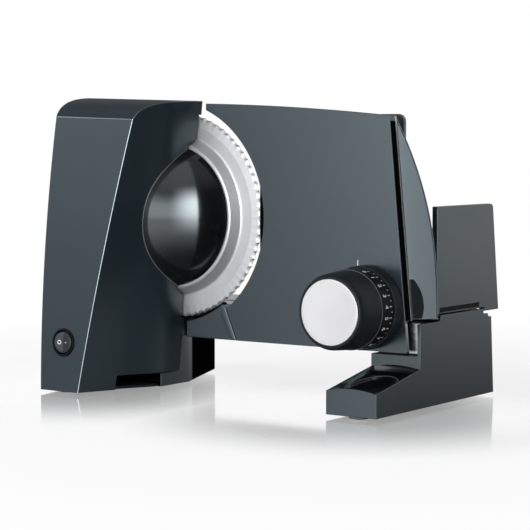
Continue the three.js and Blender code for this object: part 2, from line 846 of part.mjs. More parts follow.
function plateShape(inset) {
  const radius = plate.arcRadius + inset;
  const slope = (plate.lowRightX - plate.topRightX) / (plate.topRightZ - plate.lowZ);
  const [seamX, seamZ] = arcPoint(radius, plate.arcLowAngle);
  const leftX = plate.topLeftX + inset;
  const arcEnd = Math.acos(leftX / radius);
  const shape = new THREE.Shape();
  shape.moveTo(plate.lowLeftX + inset, plate.lowZ + inset);
  shape.lineTo(plate.lowRightX - inset - plate.corner, plate.lowZ + inset);
  shape.quadraticCurveTo(
    plate.lowRightX - inset,
    plate.lowZ + inset,
    plate.lowRightX - inset - plate.corner * slope,
    plate.lowZ + inset + plate.corner,
  );
  shape.lineTo(plate.topRightX - inset, plate.topRightZ - inset);
  shape.quadraticCurveTo(plate.topBendX, plate.topBendZ - inset, leftX, plate.topLeftZ - inset);
  shape.lineTo(leftX, blade.axisZ + radius * Math.sin(arcEnd));
  shape.absarc(0, blade.axisZ, radius, arcEnd, plate.arcLowAngle, true);
  shape.lineTo(seamX, seamZ);
  return shape;
}

function wingReach(z) {
  if (z < wing.bellyZ) {
    const t = (wing.bellyZ - z) / (wing.bellyZ - wing.lowZ);
    return wing.reach + (wing.lowReach - wing.reach) * t;
  }
  const t = (z - wing.bellyZ) / (wing.topZ - wing.bellyZ);
  return Math.max(wing.tip, wing.reach * (1 - t ** wing.fall));
}

function buildWing() {
  const slope = (plate.lowRightX - plate.topRightX) / (plate.topRightZ - plate.lowZ);
  const along = new THREE.Vector3(Math.cos(wing.turn), Math.sin(wing.turn), 0);
  const across = new THREE.Vector3(-Math.sin(wing.turn), Math.cos(wing.turn), 0).multiplyScalar(wing.thick);
  const sections = [];
  for (let i = 0; i <= wing.levels; i += 1) {
    const z = wing.lowZ + ((wing.topZ - wing.lowZ) * i) / wing.levels;
    const start = new THREE.Vector3(plate.lowRightX - (z - plate.lowZ) * slope, wing.startY, z);
    const end = start.clone().addScaledVector(along, wingReach(z));
    sections.push([start, end, end.clone().add(across), start.clone().add(across)]);
  }
  add("plate_wing", loft(sections), "housing");
}

function buildStopPlate() {
  const { skin, cutX, cutZ } = plate;
  const corner = box(cutX - skin / 2, plate.lowRightX, plate.frontY, past, 0, cutZ + skin);
  const cut = box(cutX, plate.lowRightX + past, plate.cutY, past, 0, cutZ);
  const hollow = slabY(plateShape(skin), plate.frontY + skin, plate.rearY + past).subtract(corner);
  const shaftHole = rod(knob.x, knob.z, knob.shaftRadius + gap, 2 * plate.frontY, past);
  const shell = slabY(plateShape(0), plate.frontY, plate.boxRearY).subtract(hollow).subtract(cut);
  add("stop_plate", shell.subtract(shaftHole), "housing");
  let face = slabY(plateShape(0), plate.faceFrontY, plate.rearY).subtract(cut);
  face = face.subtract(rod(knob.x, screwZ, screw.radius + gap, 2 * plate.frontY, past));
  const bushFrontY = deck.frontY + gap;
  for (const [side, x] of [["left", rods.leftX], ["right", rods.rightX]]) {
    face = face.subtract(rod(x, screwZ, rods.radius + gap, 2 * plate.frontY, past));
    add(`guide_rod_${side}`, rod(x, screwZ, rods.radius, rods.frontY, rods.rearY), "steel");
    const tube = ring(x, screwZ, rods.radius + gap, rods.bushOuter, bushFrontY, rods.bushRearY, smallSides);
    add(`guide_bush_${side}`, tube, "nylon");
  }
  add("stop_face", face, "aluminium");
  buildWing();
}

function buildKnob() {
  const { x, z } = knob;
  const faceBack = knob.frontY + knob.faceThick + gap;
  const capProfile = [
    [knob.shaftRadius + gap, faceBack],
    [knob.faceRadius + gap, faceBack],
    [knob.faceRadius + gap, knob.frontY + gap],
    [knob.rimRadius, knob.frontY + gap],
    [knob.shoulderRadius, knob.shoulderY],
    [knob.backRadius, knob.lineY - gap],
    [knob.hollowRadius, knob.lineY - gap],
    [knob.hollowRadius, knob.capBackY],
    [knob.shaftRadius + gap, knob.capBackY],
    [knob.shaftRadius + gap, faceBack],
  ];
  add("knob_cap", turned(capProfile, x, z), "black");
  const faceProfile = [
    [0, knob.frontY],
    [knob.faceRadius - gap, knob.frontY],
    [knob.faceRadius, knob.frontY + gap],
    [knob.faceRadius, faceBack - gap],
    [0, faceBack - gap],
  ];
  add("knob_face", turned(faceProfile, x, z), "aluminium");
  const bore = knob.shaftRadius + gap;
  add("knob_dial", ring(x, z, bore, knob.bandRadius, knob.lineY, knob.bandRearY), "black");
  const collarFront = knob.bandRearY + gap;
  const collarRear = plate.frontY - gap;
  add("knob_collar", ring(x, z, knob.collarBore, knob.collarRadius, collarFront, collarRear), "black");
  add("knob_shaft", rod(x, z, knob.shaftRadius, knob.shaftFrontY, knob.shaftRearY), "steel");
  const down = -Math.PI / 2;
  const { gearFrontY, gearRearY } = knob;
  add("knob_gear", gear(train.knobTeeth, down, x, z, gearFrontY, gearRearY, bore), "brass");
  const gapAngle = Math.PI / 2 + Math.PI / train.knobTeeth;
  const screwBore = screw.radius + gap;
  add("screw_gear", gear(train.knobTeeth, gapAngle, x, screwZ, gearFrontY, gearRearY, screwBore), "brass");
  add("lead_screw", rod(x, screwZ, screw.radius, screw.frontY, screw.rearY), "steel");
  const { nutBore, nutOuter, nutFrontY, nutRearY } = screw;
  add("screw_nut", ring(x, screwZ, nutBore, nutOuter, nutFrontY, nutRearY, smallSides), "brass");
}

// Food carriage and food holder

function buildCarriage() {
  const c = carriage;
  const outline = polygon([
    [c.leftX, c.frontY],
    [c.rightX, c.frontY],
    [c.rightX, c.wallFrontY],
    [c.tongueX, c.wallFrontY],
    [c.tongueX, c.rearY],
    [c.leftX, c.rearY],
  ]);
  const channel = box(c.channelX, c.wallRightX, c.channelFrontY, c.channelRearY, 0, 2 * c.topZ);
  add("carriage_table", slabZ(outline, c.lowZ, c.topZ).subtract(channel), "housing");
  const side = new THREE.Shape();
  side.moveTo(c.wallFrontY, c.lowZ);
  side.lineTo(c.hangY, c.lowZ);
  side.lineTo(c.hangY, c.hangZ);
  side.lineTo(c.wallLowRearY, c.hangZ);
  side.lineTo(c.wallTopRearY, c.wallTopZ - c.corner);
  side.quadraticCurveTo(c.wallTopRearY, c.wallTopZ, c.wallTopRearY - c.corner, c.wallTopZ);
  side.lineTo(c.wallFrontY, c.wallTopZ);
  const slot = box(0, 2 * c.wallRightX, c.slotFrontY, c.slotRearY, c.slotLowZ, c.slotHighZ);
  add("carriage_wall", slabX(side, c.wallLeftX, c.wallRightX).subtract(slot), "housing");
  add("carriage_shoe", box(shoe.leftX, shoe.rightX, shoe.frontY, shoe.rearY, shoe.lowZ, shoe.highZ), "nylon");
  const h = hook;
  const profile = polygon([
    [h.frontY, h.lowZ],
    [h.rearY, h.lowZ],
    [h.rearY, h.highZ],
    [h.innerY, h.highZ],
    [h.innerY, h.lipZ],
    [h.frontY, h.lipZ],
  ]);
  add("carriage_hook", slabX(profile, h.leftX, h.rightX), "nylon");
}

function buildHolder() {
  const h = holder;
  const shape = new THREE.Shape();
  shape.moveTo(h.leftX, h.lowZ);
  shape.lineTo(h.rightX, h.lowZ);
  shape.lineTo(h.rightX, h.topZ - h.corner);
  shape.quadraticCurveTo(h.rightX, h.topZ, h.rightX - h.corner, h.topZ);
  shape.lineTo(h.leftX + h.corner, h.topZ);
  shape.quadraticCurveTo(h.leftX, h.topZ, h.leftX, h.topZ - h.corner);
  let solid = slabY(shape, h.frontY, h.rearY);
  solid = solid.add(box(h.footLeftX, h.armRightX, h.frontY, h.footRearY, h.lowZ, h.footTopZ));
  const { tongueFrontY, tongueRearY, tongueLowZ, tongueHighZ } = h;
  solid = solid.add(box(h.armX, h.armRightX, tongueFrontY, tongueRearY, tongueLowZ, h.footTopZ));
  solid = solid.add(box(h.armX, h.tongueRightX, tongueFrontY, tongueRearY, tongueLowZ, tongueHighZ));
  for (let row = 0; row < h.spikeRows; row += 1) {
    for (let column = 0; column < h.spikeColumns; column += 1) {
      const cone = new THREE.ConeGeometry(h.spikeRadius, 2 * h.spike, h.spikeSides).rotateX(Math.PI);
      const x = h.spikeStartX + column * h.spikePitch;
      const z = h.spikeStartZ + row * h.spikePitch;
      solid = solid.add(toSolid(cone.translate(x, h.frontY, z)));
    }
  }
  add("food_holder", solid, "housing");
  const bar = upright(grip.x, grip.barY, grip.barRadius, grip.lowZ, grip.highZ);
  let handle = bar;
  for (const z of [grip.lowZ + grip.inset, grip.highZ - grip.inset]) {
    handle = handle.add(rod(grip.x, z, grip.postRadius, h.rearY + gap, grip.barY));
  }
  add("holder_grip", handle, "black");
}

buildHousing();
buildDome();
buildRearPanel();
buildHousingFloor();
buildSwitch();
buildDrive();
buildMotor();
buildBase();
buildFoot();
buildBaseTrim();
buildGuard();
buildStopPlate();
buildKnob();
buildCarriage();
buildHolder();

// The origin is the middle of the footprint, on the surface that the pads stand on.
group.updateMatrixWorld(true);
const bounds = new THREE.Box3().setFromObject(group, true);
const middle = bounds.getCenter(new THREE.Vector3());
group.position.set(-middle.x, -middle.y, -bounds.min.z);
group.updateMatrixWorld(true);

export default group;
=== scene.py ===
import json
import math
import bmesh
import bpy
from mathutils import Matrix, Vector


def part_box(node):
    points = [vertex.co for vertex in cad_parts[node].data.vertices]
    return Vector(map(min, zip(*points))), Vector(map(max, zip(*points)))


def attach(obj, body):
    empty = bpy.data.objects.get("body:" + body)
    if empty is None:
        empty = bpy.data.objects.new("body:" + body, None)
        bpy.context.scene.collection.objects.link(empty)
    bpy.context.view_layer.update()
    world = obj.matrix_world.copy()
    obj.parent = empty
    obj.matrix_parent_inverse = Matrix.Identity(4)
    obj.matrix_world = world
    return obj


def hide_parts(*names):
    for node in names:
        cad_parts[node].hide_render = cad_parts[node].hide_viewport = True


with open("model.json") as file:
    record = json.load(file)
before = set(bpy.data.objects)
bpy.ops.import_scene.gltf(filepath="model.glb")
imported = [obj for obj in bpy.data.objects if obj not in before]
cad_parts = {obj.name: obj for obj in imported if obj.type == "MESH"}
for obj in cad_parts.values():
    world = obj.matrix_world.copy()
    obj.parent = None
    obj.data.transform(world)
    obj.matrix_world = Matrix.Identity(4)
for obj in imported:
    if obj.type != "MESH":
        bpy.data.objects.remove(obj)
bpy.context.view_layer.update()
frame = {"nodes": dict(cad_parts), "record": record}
nodes = frame["nodes"]
scene = bpy.context.scene
scene.view_settings.view_transform = "Standard"

# Sizes are in mm from the blade's axis, its cutting plane and the underside of the mouldings.
bladeAxisZ = 142.0
knobX, knobZ = 191.7, 75.4
bladeLow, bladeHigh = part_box("blade")
shift = Vector((500 * (bladeLow.x + bladeHigh.x), 1000 * bladeHigh.y,
                500 * (bladeLow.z + bladeHigh.z) - bladeAxisZ))


def spot(x, y, z):
    return (Vector((x, y, z)) + shift) / 1000


def localSpot(x, y, z):   # for a shape modelled round the origin
    return Vector((x, y, z)) / 1000


def mix(a, b, t):
    return a + (b - a) * t


def ease(t):
    t = min(1.0, max(0.0, t))
    return t * t * (3 - 2 * t)


def fractions(count):
    return [i / count for i in range(count + 1)]


def bladeArc(radius, angle):
    return radius * math.cos(angle), bladeAxisZ + radius * math.sin(angle)


# mesh helpers
def newObject(name, mesh):
    obj = bpy.data.objects.new(name, mesh)
    scene.collection.objects.link(obj)
    return obj


def fromBmesh(name, bm):
    mesh = bpy.data.meshes.new(name)
    bm.to_mesh(mesh)
    bm.free()
    return newObject(name, mesh)


def solidFrom(name, points, faces, put=spot):
    bm = bmesh.new()
    corners = [bm.verts.new(put(*p)) for p in points]
    for face in faces:
        bm.faces.new([corners[i] for i in face])
    bmesh.ops.remove_doubles(bm, verts=bm.verts, dist=1e-6)
    bmesh.ops.recalc_face_normals(bm, faces=bm.faces)
    return fromBmesh(name, bm)


def bandFaces(rows, size, closed=True, loop=False):   # quads between neighbouring rows of points
    faces = []
    for s in range(rows if closed else rows - 1):
        t = (s + 1) % rows
        for i in range(size if loop else size - 1):
            k = (i + 1) % size
            faces.append((s * size + i, s * size + k, t * size + k, t * size + i))
    return faces


def turnedRow(profile, angle, x, z):
    return [(x + r * math.cos(angle), y, z + r * math.sin(angle)) for r, y in profile]


def turned(name, profile, x, z, steps=96, loop=False, put=spot):   # (radius, y) about a line along Y
    points = []
    for s in range(steps):
        points += turnedRow(profile, 2 * math.pi * s / steps, x, z)
    return solidFrom(name, points, bandFaces(steps, len(profile), loop=loop), put)


def drum(name, radius, y0, y1, x, z, steps, put=spot):
    return turned(name, [(0, y0), (radius, y0), (radius, y1), (0, y1)], x, z, steps, put=put)


def prism(name, first, second, put=spot):   # two like outlines joined by sides
    n = len(first)
    faces = [tuple(range(n)), tuple(range(n, 2 * n))] + bandFaces(2, n, closed=False, loop=True)
    return solidFrom(name, first + second, faces, put)


def slab(name, outline, low, high, along):   # an outline given thickness along one axis
    place = {"X": lambda a, b, t: (t, a, b), "Y": lambda a, b, t: (a, t, b), "Z": lambda a, b, t: (a, b, t)}
    return prism(name, *[[place[along](a, b, t) for a, b in outline] for t in (low, high)])


def block(name, x0, x1, y0, y1, z0, z1):
    return slab(name, [(x0, y0), (x1, y0), (x1, y1), (x0, y1)], z0, z1, "Z")


def evaluated(obj, **options):
    depsgraph = bpy.context.evaluated_depsgraph_get()
    return bpy.data.meshes.new_from_object(obj.evaluated_get(depsgraph), **options, depsgraph=depsgraph)


def bake(obj):
    mesh = evaluated(obj, preserve_all_data_layers=True)
    old = obj.data
    obj.modifiers.clear()
    obj.data = mesh
    bpy.data.meshes.remove(old)
    return obj


def combine(obj, other, operation="DIFFERENCE"):
    step = obj.modifiers.new("combine", "BOOLEAN")
    step.operation = operation
    step.solver = "EXACT"
    step.object = other
    bake(obj)
    bpy.data.objects.remove(other)
    return obj


def soften(obj, width, segments=3, angle=32, weighted=False):
    step = obj.modifiers.new("round", "BEVEL")
    step.material = 1 if weighted else -1   # weighted edges take the second material
    step.width = width / 1000
    step.segments = segments
    step.limit_method = "WEIGHT" if weighted else "ANGLE"
    step.angle_limit = math.radians(angle)
    return bake(obj)


def shade(obj, angle=38):
    obj.data.shade_smooth()
    obj.data.set_sharp_from_angle(angle=math.radians(angle))
    step = obj.modifiers.new("normals", "WEIGHTED_NORMAL")
    step.keep_sharp = True
    return bake(obj)


def fit(obj, body, material, stands=()):
    if obj.data.materials:
        obj.data.materials[0] = material
    else:
        obj.data.materials.append(material)
    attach(obj, body)
    if stands:
        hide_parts(*stands)
    return obj


def mergeFlat(mesh, angle):   # meeting points are merged and flat seams cleared
    bm = bmesh.new()
    bm.from_mesh(mesh)
    bmesh.ops.remove_doubles(bm, verts=bm.verts, dist=1e-5)
    bmesh.ops.dissolve_limit(bm, angle_limit=math.radians(angle), verts=bm.verts, edges=bm.edges)
    return bm


def nodeCopy(name, node):
    return fromBmesh(name, mergeFlat(nodes[node].data, 0.6))


def flatten(obj):   # coplanar faces left by a union become one
    bm = mergeFlat(obj.data, 0.4)
    bm.to_mesh(obj.data)
    bm.free()


# camera: the photograph's viewing angle
cameraView = {"place": (940.6, -1216.7, 204.0), "azimuth": 35.03, "pitch": 3.87, "lens": 125.07, "sensor": 36}
camera = newObject("camera", bpy.data.cameras.new("camera"))
camera.data.lens = cameraView["lens"]
camera.data.sensor_width = cameraView["sensor"]
camera.location = spot(*cameraView["place"])
camera.rotation_euler = (math.radians(90 - cameraView["pitch"]), 0, math.radians(cameraView["azimuth"]))
scene.camera = camera


# node helpers
def feed(tree, node, sources):   # inputs are linked to a socket or set to a value
    for key, source in sources.items():
        if isinstance(source, bpy.types.NodeSocket):
            tree.links.new(source, node.inputs[key])
        else:
            node.inputs[key].default_value = source
    return node


def addNode(tree, kind, sources=None, **values):
    node = tree.nodes.new(kind)
    for key, value in values.items():
        setattr(node, key, value)
    return feed(tree, node, sources or {})


def mathNode(tree, operation, *values):
    return addNode(tree, "ShaderNodeMath", dict(enumerate(values)), operation=operation).outputs["Value"]


def mapRange(tree, value, a, b, low, high, kind):
    sources = {"Value": value, "From Min": a, "From Max": b, "To Min": low, "To Max": high}
    return addNode(tree, "ShaderNodeMapRange", sources, interpolation_type=kind).outputs["Result"]


def smoothRamp(tree, value, a, b, low, high):
    return mapRange(tree, value, a, b, low, high, "SMOOTHSTEP")


# materials
patternForm = {"low": 0.3, "high": 0.7, "bumpDepth": 0.0001}
mouldedForm = {"drift": 22, "driftDetail": 3, "grain": 1400}
turnedForm = {"drift": 30, "ringDetail": 4}
brushedForm = {"drift": 25, "strokes": 60, "strokeDetail": 4}


def startMaterial(name, look):
    material = bpy.data.materials.new(name)
    material.use_nodes = True
    tree = material.node_tree
    feed(tree, tree.nodes["Principled BSDF"], {
        "Metallic": look.get("metal", 0.0), "Specular IOR Level": look.get("specular", 0.5),
        "IOR": look.get("ior", 1.5), "Specular Tint": (*look.get("tint", (1, 1, 1)), 1)})
    return material, tree, addNode(tree, "ShaderNodeTexCoord").outputs["Object"]


def noise(tree, vector, scale, detail=2):
    sources = {"Vector": vector, "Scale": scale, "Detail": detail}
    return addNode(tree, "ShaderNodeTexNoise", sources).outputs["Fac"]


def finishPattern(tree, look, pattern, grain):
    low, high = patternForm["low"], patternForm["high"]
    ramp = addNode(tree, "ShaderNodeValToRGB", {"Fac": pattern})
    for stop, place, colour in zip(ramp.color_ramp.elements, (low, high), (look["dark"], look["light"])):
        stop.position = place
        stop.color = (*colour, 1)
    bump = addNode(tree, "ShaderNodeBump", {
        "Strength": look["bump"], "Distance": patternForm["bumpDepth"], "Height": grain})
    feed(tree, tree.nodes["Principled BSDF"], {
        "Base Color": ramp.outputs["Color"], "Normal": bump.outputs["Normal"],
        "Roughness": mapRange(tree, grain, low, high, *look["rough"], "LINEAR")})


def mouldedMaterial(name, look):   # fine moulded grain with a slow drift of tone
    material, tree, place = startMaterial(name, look)
    drift = noise(tree, place, mouldedForm["drift"], mouldedForm["driftDetail"])
    finishPattern(tree, look, drift, noise(tree, place, mouldedForm["grain"]))
    return material


def turnedMaterial(name, look, x, z):   # rings round a line along Y, as a lathe or a grinder leaves
    material, tree, place = startMaterial(name, look)
    centre = spot(x, 0, z)
    flat = addNode(tree, "ShaderNodeMapping", {
        "Vector": place, "Location": (-centre.x, 0, -centre.z), "Scale": (1, 0, 1)}, vector_type="POINT")
    reach = addNode(tree, "ShaderNodeVectorMath", {0: flat.outputs["Vector"]}, operation="LENGTH")
    rings = addNode(tree, "ShaderNodeTexNoise", noise_dimensions="1D")
    feed(tree, rings, {"W": reach.outputs["Value"], "Scale": look["rings"], "Detail": turnedForm["ringDetail"]})
    finishPattern(tree, look, noise(tree, place, turnedForm["drift"]), rings.outputs["Fac"])
    return material


def brushedMaterial(name, look, stretch):   # straight brushing along one axis
    material, tree, place = startMaterial(name, look)
    lay = addNode(tree, "ShaderNodeMapping", {"Vector": place, "Scale": stretch}, vector_type="POINT")
    strokes = noise(tree, lay.outputs["Vector"], brushedForm["strokes"], brushedForm["strokeDetail"])
    finishPattern(tree, look, noise(tree, place, brushedForm["drift"]), strokes)
    return material


anthraciteLook = {"dark": (0.011, 0.018, 0.0235), "light": (0.014, 0.021, 0.0275), "rough": (0.19, 0.24),
                  "tint": (0.8, 0.94, 1.0), "bump": 0.06, "specular": 1.0}
towerLook = {**anthraciteLook, "specular": 0.6, "rough": (0.3, 0.36)}
# painted highlight: a copy of the anthracite plastic that reflects more strongly, for the tower's rounded
# edges, so they show bright highlight lines
edgeHighlightLook = {**anthraciteLook, "ior": 2.3, "rough": (0.2, 0.26)}
glossLook = {"dark": (0.004, 0.0045, 0.005), "light": (0.006, 0.0065, 0.007), "rough": (0.1, 0.14),
             "tint": (0.85, 0.95, 1.0), "bump": 0.01, "specular": 0.9}
mattLook = {"dark": (0.007, 0.0085, 0.010), "light": (0.009, 0.0105, 0.012), "rough": (0.42, 0.52),
            "tint": (0.8, 0.93, 1.0), "bump": 0.12, "specular": 0.22}
trimLook = {"dark": (0.004, 0.0048, 0.0055), "light": (0.006, 0.0068, 0.0076), "rough": (0.34, 0.42),
            "tint": (0.8, 0.93, 1.0), "bump": 0.04, "specular": 0.06}
shadowLook = {"dark": (0.002, 0.0023, 0.0026), "light": (0.003, 0.0034, 0.0038), "rough": (0.5, 0.6),
              "bump": 0.04, "specular": 0.0}
# light grey for the knob's thin line and for beads that stand in for highlights: the painted highlight lines
# round the dome and the dish's bowl
lineAndHighlightLook = {"dark": (0.1, 0.11, 0.12), "light": (0.13, 0.14, 0.15), "rough": (0.25, 0.32), "bump": 0.04}
rockerLook = {"dark": (0.013, 0.016, 0.02), "light": (0.017, 0.021, 0.025), "rough": (0.3, 0.38),
              "tint": (0.82, 0.94, 1.0), "bump": 0.08, "specular": 0.45}
steelLook = {"dark": (0.45, 0.465, 0.475), "light": (0.51, 0.525, 0.535), "rough": (0.42, 0.52),
             "metal": 0.72, "bump": 0.05, "rings": 2200}
platedLook = {"dark": (0.55, 0.56, 0.57), "light": (0.64, 0.65, 0.66), "rough": (0.24, 0.34),
              "metal": 1.0, "bump": 0.03}
satinLook = {"dark": (0.58, 0.58, 0.59), "light": (0.65, 0.65, 0.66), "rough": (0.4, 0.48),
             "metal": 1.0, "bump": 0.05, "rings": 2600}
brassLook = {"dark": (0.52, 0.37, 0.15), "light": (0.62, 0.46, 0.21), "rough": (0.26, 0.36),
             "metal": 1.0, "bump": 0.03}
nylonLook = {"dark": (0.66, 0.64, 0.57), "light": (0.74, 0.72, 0.65), "rough": (0.42, 0.5), "bump": 0.08}
rubberLook = {"dark": (0.2, 0.2, 0.205), "light": (0.26, 0.26, 0.265), "rough": (0.6, 0.72), "bump": 0.2}
markLook = {"dark": (0.74, 0.75, 0.76), "light": (0.82, 0.83, 0.84), "rough": (0.45, 0.55), "bump": 0.05}

anthracite = mouldedMaterial("anthracitePlastic", anthraciteLook)
towerPlastic = mouldedMaterial("towerPlastic", towerLook)
edgeShine = mouldedMaterial("edgeHighlightPlastic", edgeHighlightLook)
glossBlack = mouldedMaterial("polishedBlack", glossLook)
mattBlack = mouldedMaterial("mattBlack", mattLook)
trimBlack = mouldedMaterial("trimBlack", trimLook)
# painted shade: a black that reflects nothing, for the sheets and strips put where parts lie in shade
paintedShadeBlack = mouldedMaterial("paintedShadeBlack", shadowLook)
lineAndHighlightGrey = mouldedMaterial("greyLineAndPaintedHighlight", lineAndHighlightLook)
rockerGrey = mouldedMaterial("rockerGrey", rockerLook)
groundSteel = turnedMaterial("groundSteel", steelLook, 0, bladeAxisZ)
platedSteel = brushedMaterial("platedSteel", platedLook, (1, 1, 30))
satinFace = brushedMaterial("satinAluminium", satinLook, (1, 1, 24))
knobSatin = turnedMaterial("knobSatin", satinLook, knobX, knobZ)
turnedBrass = mouldedMaterial("turnedBrass", brassLook)
nylon = mouldedMaterial("naturalNylon", nylonLook)
rubber = mouldedMaterial("blackRubber", rubberLook)
markWhite = mouldedMaterial("dialWhite", markLook)
print("materials:", len(bpy.data.materials))


# geometry nodes helpers
def newTree(name, inputs):
    tree = bpy.data.node_groups.new(name, "GeometryNodeTree")
    for label, kind in {"Geometry": "Geometry", **inputs}.items():
        tree.interface.new_socket(label, in_out="INPUT", socket_type="NodeSocket" + kind)
    tree.interface.new_socket("Geometry", in_out="OUTPUT", socket_type="NodeSocketGeometry")
    return tree, tree.nodes.new("NodeGroupInput").outputs


def closeTree(tree, source, given):   # every tree ends in real faces with their material
    real = addNode(tree, "GeometryNodeRealizeInstances", {"Geometry": source})
    paint = addNode(tree, "GeometryNodeSetMaterial", {
        "Geometry": real.outputs["Geometry"], "Material": given["Material"]})
    addNode(tree, "NodeGroupOutput", {"Geometry": paint.outputs["Geometry"]})
    return tree


def runTree(name, tree, settings, mesh=None):
    obj = newObject(name, mesh or bpy.data.meshes.new(name))
    step = obj.modifiers.new("nodes", "NODES")
    step.node_group = tree
    for item in tree.interface.items_tree:
        if item.item_type == "SOCKET" and item.in_out == "INPUT" and item.name in settings:
            step[item.identifier] = settings[item.name]
    return bake(obj)


def ringTree():   # marks round a line along Y, each standing out along its radius
    tree, given = newTree("markRing", {
        "Count": "Int", "Radius": "Float", "Start": "Float", "Step": "Float", "Size": "Vector",
        "Centre": "Vector", "Material": "Material"})
    line = addNode(tree, "GeometryNodeMeshLine", {"Count": given["Count"]})
    index = addNode(tree, "GeometryNodeInputIndex").outputs["Index"]
    angle = mathNode(tree, "ADD", mathNode(tree, "MULTIPLY", index, given["Step"]), given["Start"])
    across, up = [mathNode(tree, "MULTIPLY", mathNode(tree, wave, angle), given["Radius"])
                  for wave in ("SINE", "COSINE")]
    place = addNode(tree, "ShaderNodeCombineXYZ", {"X": across, "Z": up})
    move = addNode(tree, "GeometryNodeSetPosition", {
        "Geometry": line.outputs["Mesh"], "Position": place.outputs["Vector"]})
    turn = addNode(tree, "ShaderNodeCombineXYZ", {"Y": angle})
    spin = addNode(tree, "FunctionNodeEulerToRotation", {"Euler": turn.outputs["Vector"]})
    mark = addNode(tree, "GeometryNodeMeshCube", {"Size": given["Size"]})
    copies = addNode(tree, "GeometryNodeInstanceOnPoints", {
        "Points": move.outputs["Geometry"], "Instance": mark.outputs["Mesh"],
        "Rotation": spin.outputs["Rotation"]})
    moved = addNode(tree, "GeometryNodeTransform", {
        "Geometry": copies.outputs["Instances"], "Translation": given["Centre"]})
    return closeTree(tree, moved.outputs["Geometry"], given)


def beadTree():   # a round bead that follows a path of edges
    tree, given = newTree("bead", {"Radius": "Float", "Material": "Material"})
    path = addNode(tree, "GeometryNodeMeshToCurve", {"Mesh": given["Geometry"]})
    ring = addNode(tree, "GeometryNodeCurvePrimitiveCircle", {"Resolution": 10, "Radius": given["Radius"]})
    sweep = addNode(tree, "GeometryNodeCurveToMesh", {
        "Curve": path.outputs["Curve"], "Profile Curve": ring.outputs["Curve"], "Fill Caps": True})
    smooth = addNode(tree, "GeometryNodeSetShadeSmooth", {"Geometry": sweep.outputs["Mesh"]})
    return closeTree(tree, smooth.outputs["Geometry"], given)


def scatterTree():   # one shape set down on every point of a mesh
    tree, given = newTree("setDown", {"Shape": "Object", "Material": "Material"})
    shape = addNode(tree, "GeometryNodeObjectInfo", {"Object": given["Shape"]})
    copies = addNode(tree, "GeometryNodeInstanceOnPoints", {
        "Points": given["Geometry"], "Instance": shape.outputs["Geometry"]})
    return closeTree(tree, copies.outputs["Instances"], given)


markRing, bead, setDown = ringTree(), beadTree(), scatterTree()


def ringOf(name, material, count, radius, start, step, size, centre):
    return runTree(name, markRing, {
        "Count": count, "Radius": radius / 1000, "Start": math.radians(start), "Step": math.radians(step),
        "Size": tuple(v / 1000 for v in size), "Centre": tuple(spot(*centre)), "Material": material})


def pathMesh(name, points, edges):
    mesh = bpy.data.meshes.new(name)
    mesh.from_pydata([spot(*p) for p in points], edges, [])
    return mesh


def beadAlong(name, material, points, radius):
    mesh = pathMesh(name, points, [(i, i + 1) for i in range(len(points) - 1)])
    return runTree(name, bead, {"Radius": radius / 1000, "Material": material}, mesh)


def setOn(name, material, shape, points):
    made = runTree(name, setDown, {"Shape": shape, "Material": material}, pathMesh(name, points, []))
    bpy.data.objects.remove(shape)
    return made


# motor tower
roundSides, fineSides = 128, 160
towerForm = {
    "height": 225.0, "frontFloor": -92.0, "frontTop": -70.0, "leftFront": -73.0, "leftRear": -91.0,
    "scoopFloor": [(-33, -92), (-20, -60), (-2, -23), (-1, 0)],
    "scoopTop": [(9, -70), (14, -50), (20, -32), (24, 0)],
    "roll": 0.032, "pivotX": -72.0, "crestBack": (-5.0, 239.4), "crestKnee": (-63.0, 239.4),
    "crestFront": (-70.0, 223.6), "crestFall": 0.15, "crestGuess": 230.0, "crestRounds": 40,
    "sideGuess": 235.0, "sideRounds": 20, "frontSwell": 12.0, "leftSwell": 6.4, "wall": 3.0, "rim": 1.8,
    "columns": 40, "faceColumns": 8, "rows": 20, "past": 5.0, "toeRecess": (-22, 10, -60, 5, -5, 12),
    "bladePocket": [(0, -12.4), (61.6, -12.4), (67.4, -3.3), (86.4, -3.3), (86.4, 5), (0, 5)]}


def splinePoint(points, t):
    p = (len(points) - 1) * t
    i = min(int(p), len(points) - 2)
    w = p - i
    a, b = points[max(i - 1, 0)], points[i]
    c, d = points[i + 1], points[min(i + 2, len(points) - 1)]
    out = []
    for k in range(2):
        m0, m1 = (c[k] - a[k]) / 2, (d[k] - b[k]) / 2
        cubic, square = 2 * b[k] - 2 * c[k] + m0 + m1, 3 * c[k] - 3 * b[k] - 2 * m0 - m1
        out.append(cubic * w ** 3 + square * w * w + m0 * w + b[k])
    return out


def scoopColumn(t):
    return splinePoint(towerForm["scoopFloor"], t), splinePoint(towerForm["scoopTop"], t)


def crestHeight(x, y, inset):
    f = towerForm
    (yb, zb), (yk, zk), (yf, zf) = f["crestBack"], f["crestKnee"], f["crestFront"]
    yk, yf = yk + inset, yf + inset
    if y >= yb:
        z = zb
    elif y <= yf:
        z = zf + (y - yf) * f["crestFall"]
    else:
        a, b, c = yb - 2 * yk + yf, 2 * (yk - yb), yb - y
        t = (-b - math.sqrt(b * b - 4 * a * c)) / (2 * a)
        z = (1 - t) ** 2 * zb + 2 * t * (1 - t) * zk + t * t * zf
    return (z - inset) / math.cos(f["roll"]) - (x - f["pivotX"]) * math.tan(f["roll"])


def towerColumn(low, top, push, z):   # the front and left edge bow out, other columns share by their push
    t = z / towerForm["height"]
    bow = t * (1 - t)
    x = mix(low[0], top[0], t) - towerForm["leftSwell"] * bow * push[0]
    return x, mix(low[1], top[1], t) - towerForm["frontSwell"] * bow * push[1]


def columnTop(low, top, push, inset):
    z = towerForm["crestGuess"]
    for _ in range(towerForm["crestRounds"]):
        x, y = towerColumn(low, top, push, z)
        z = crestHeight(x, y, inset)
    return z


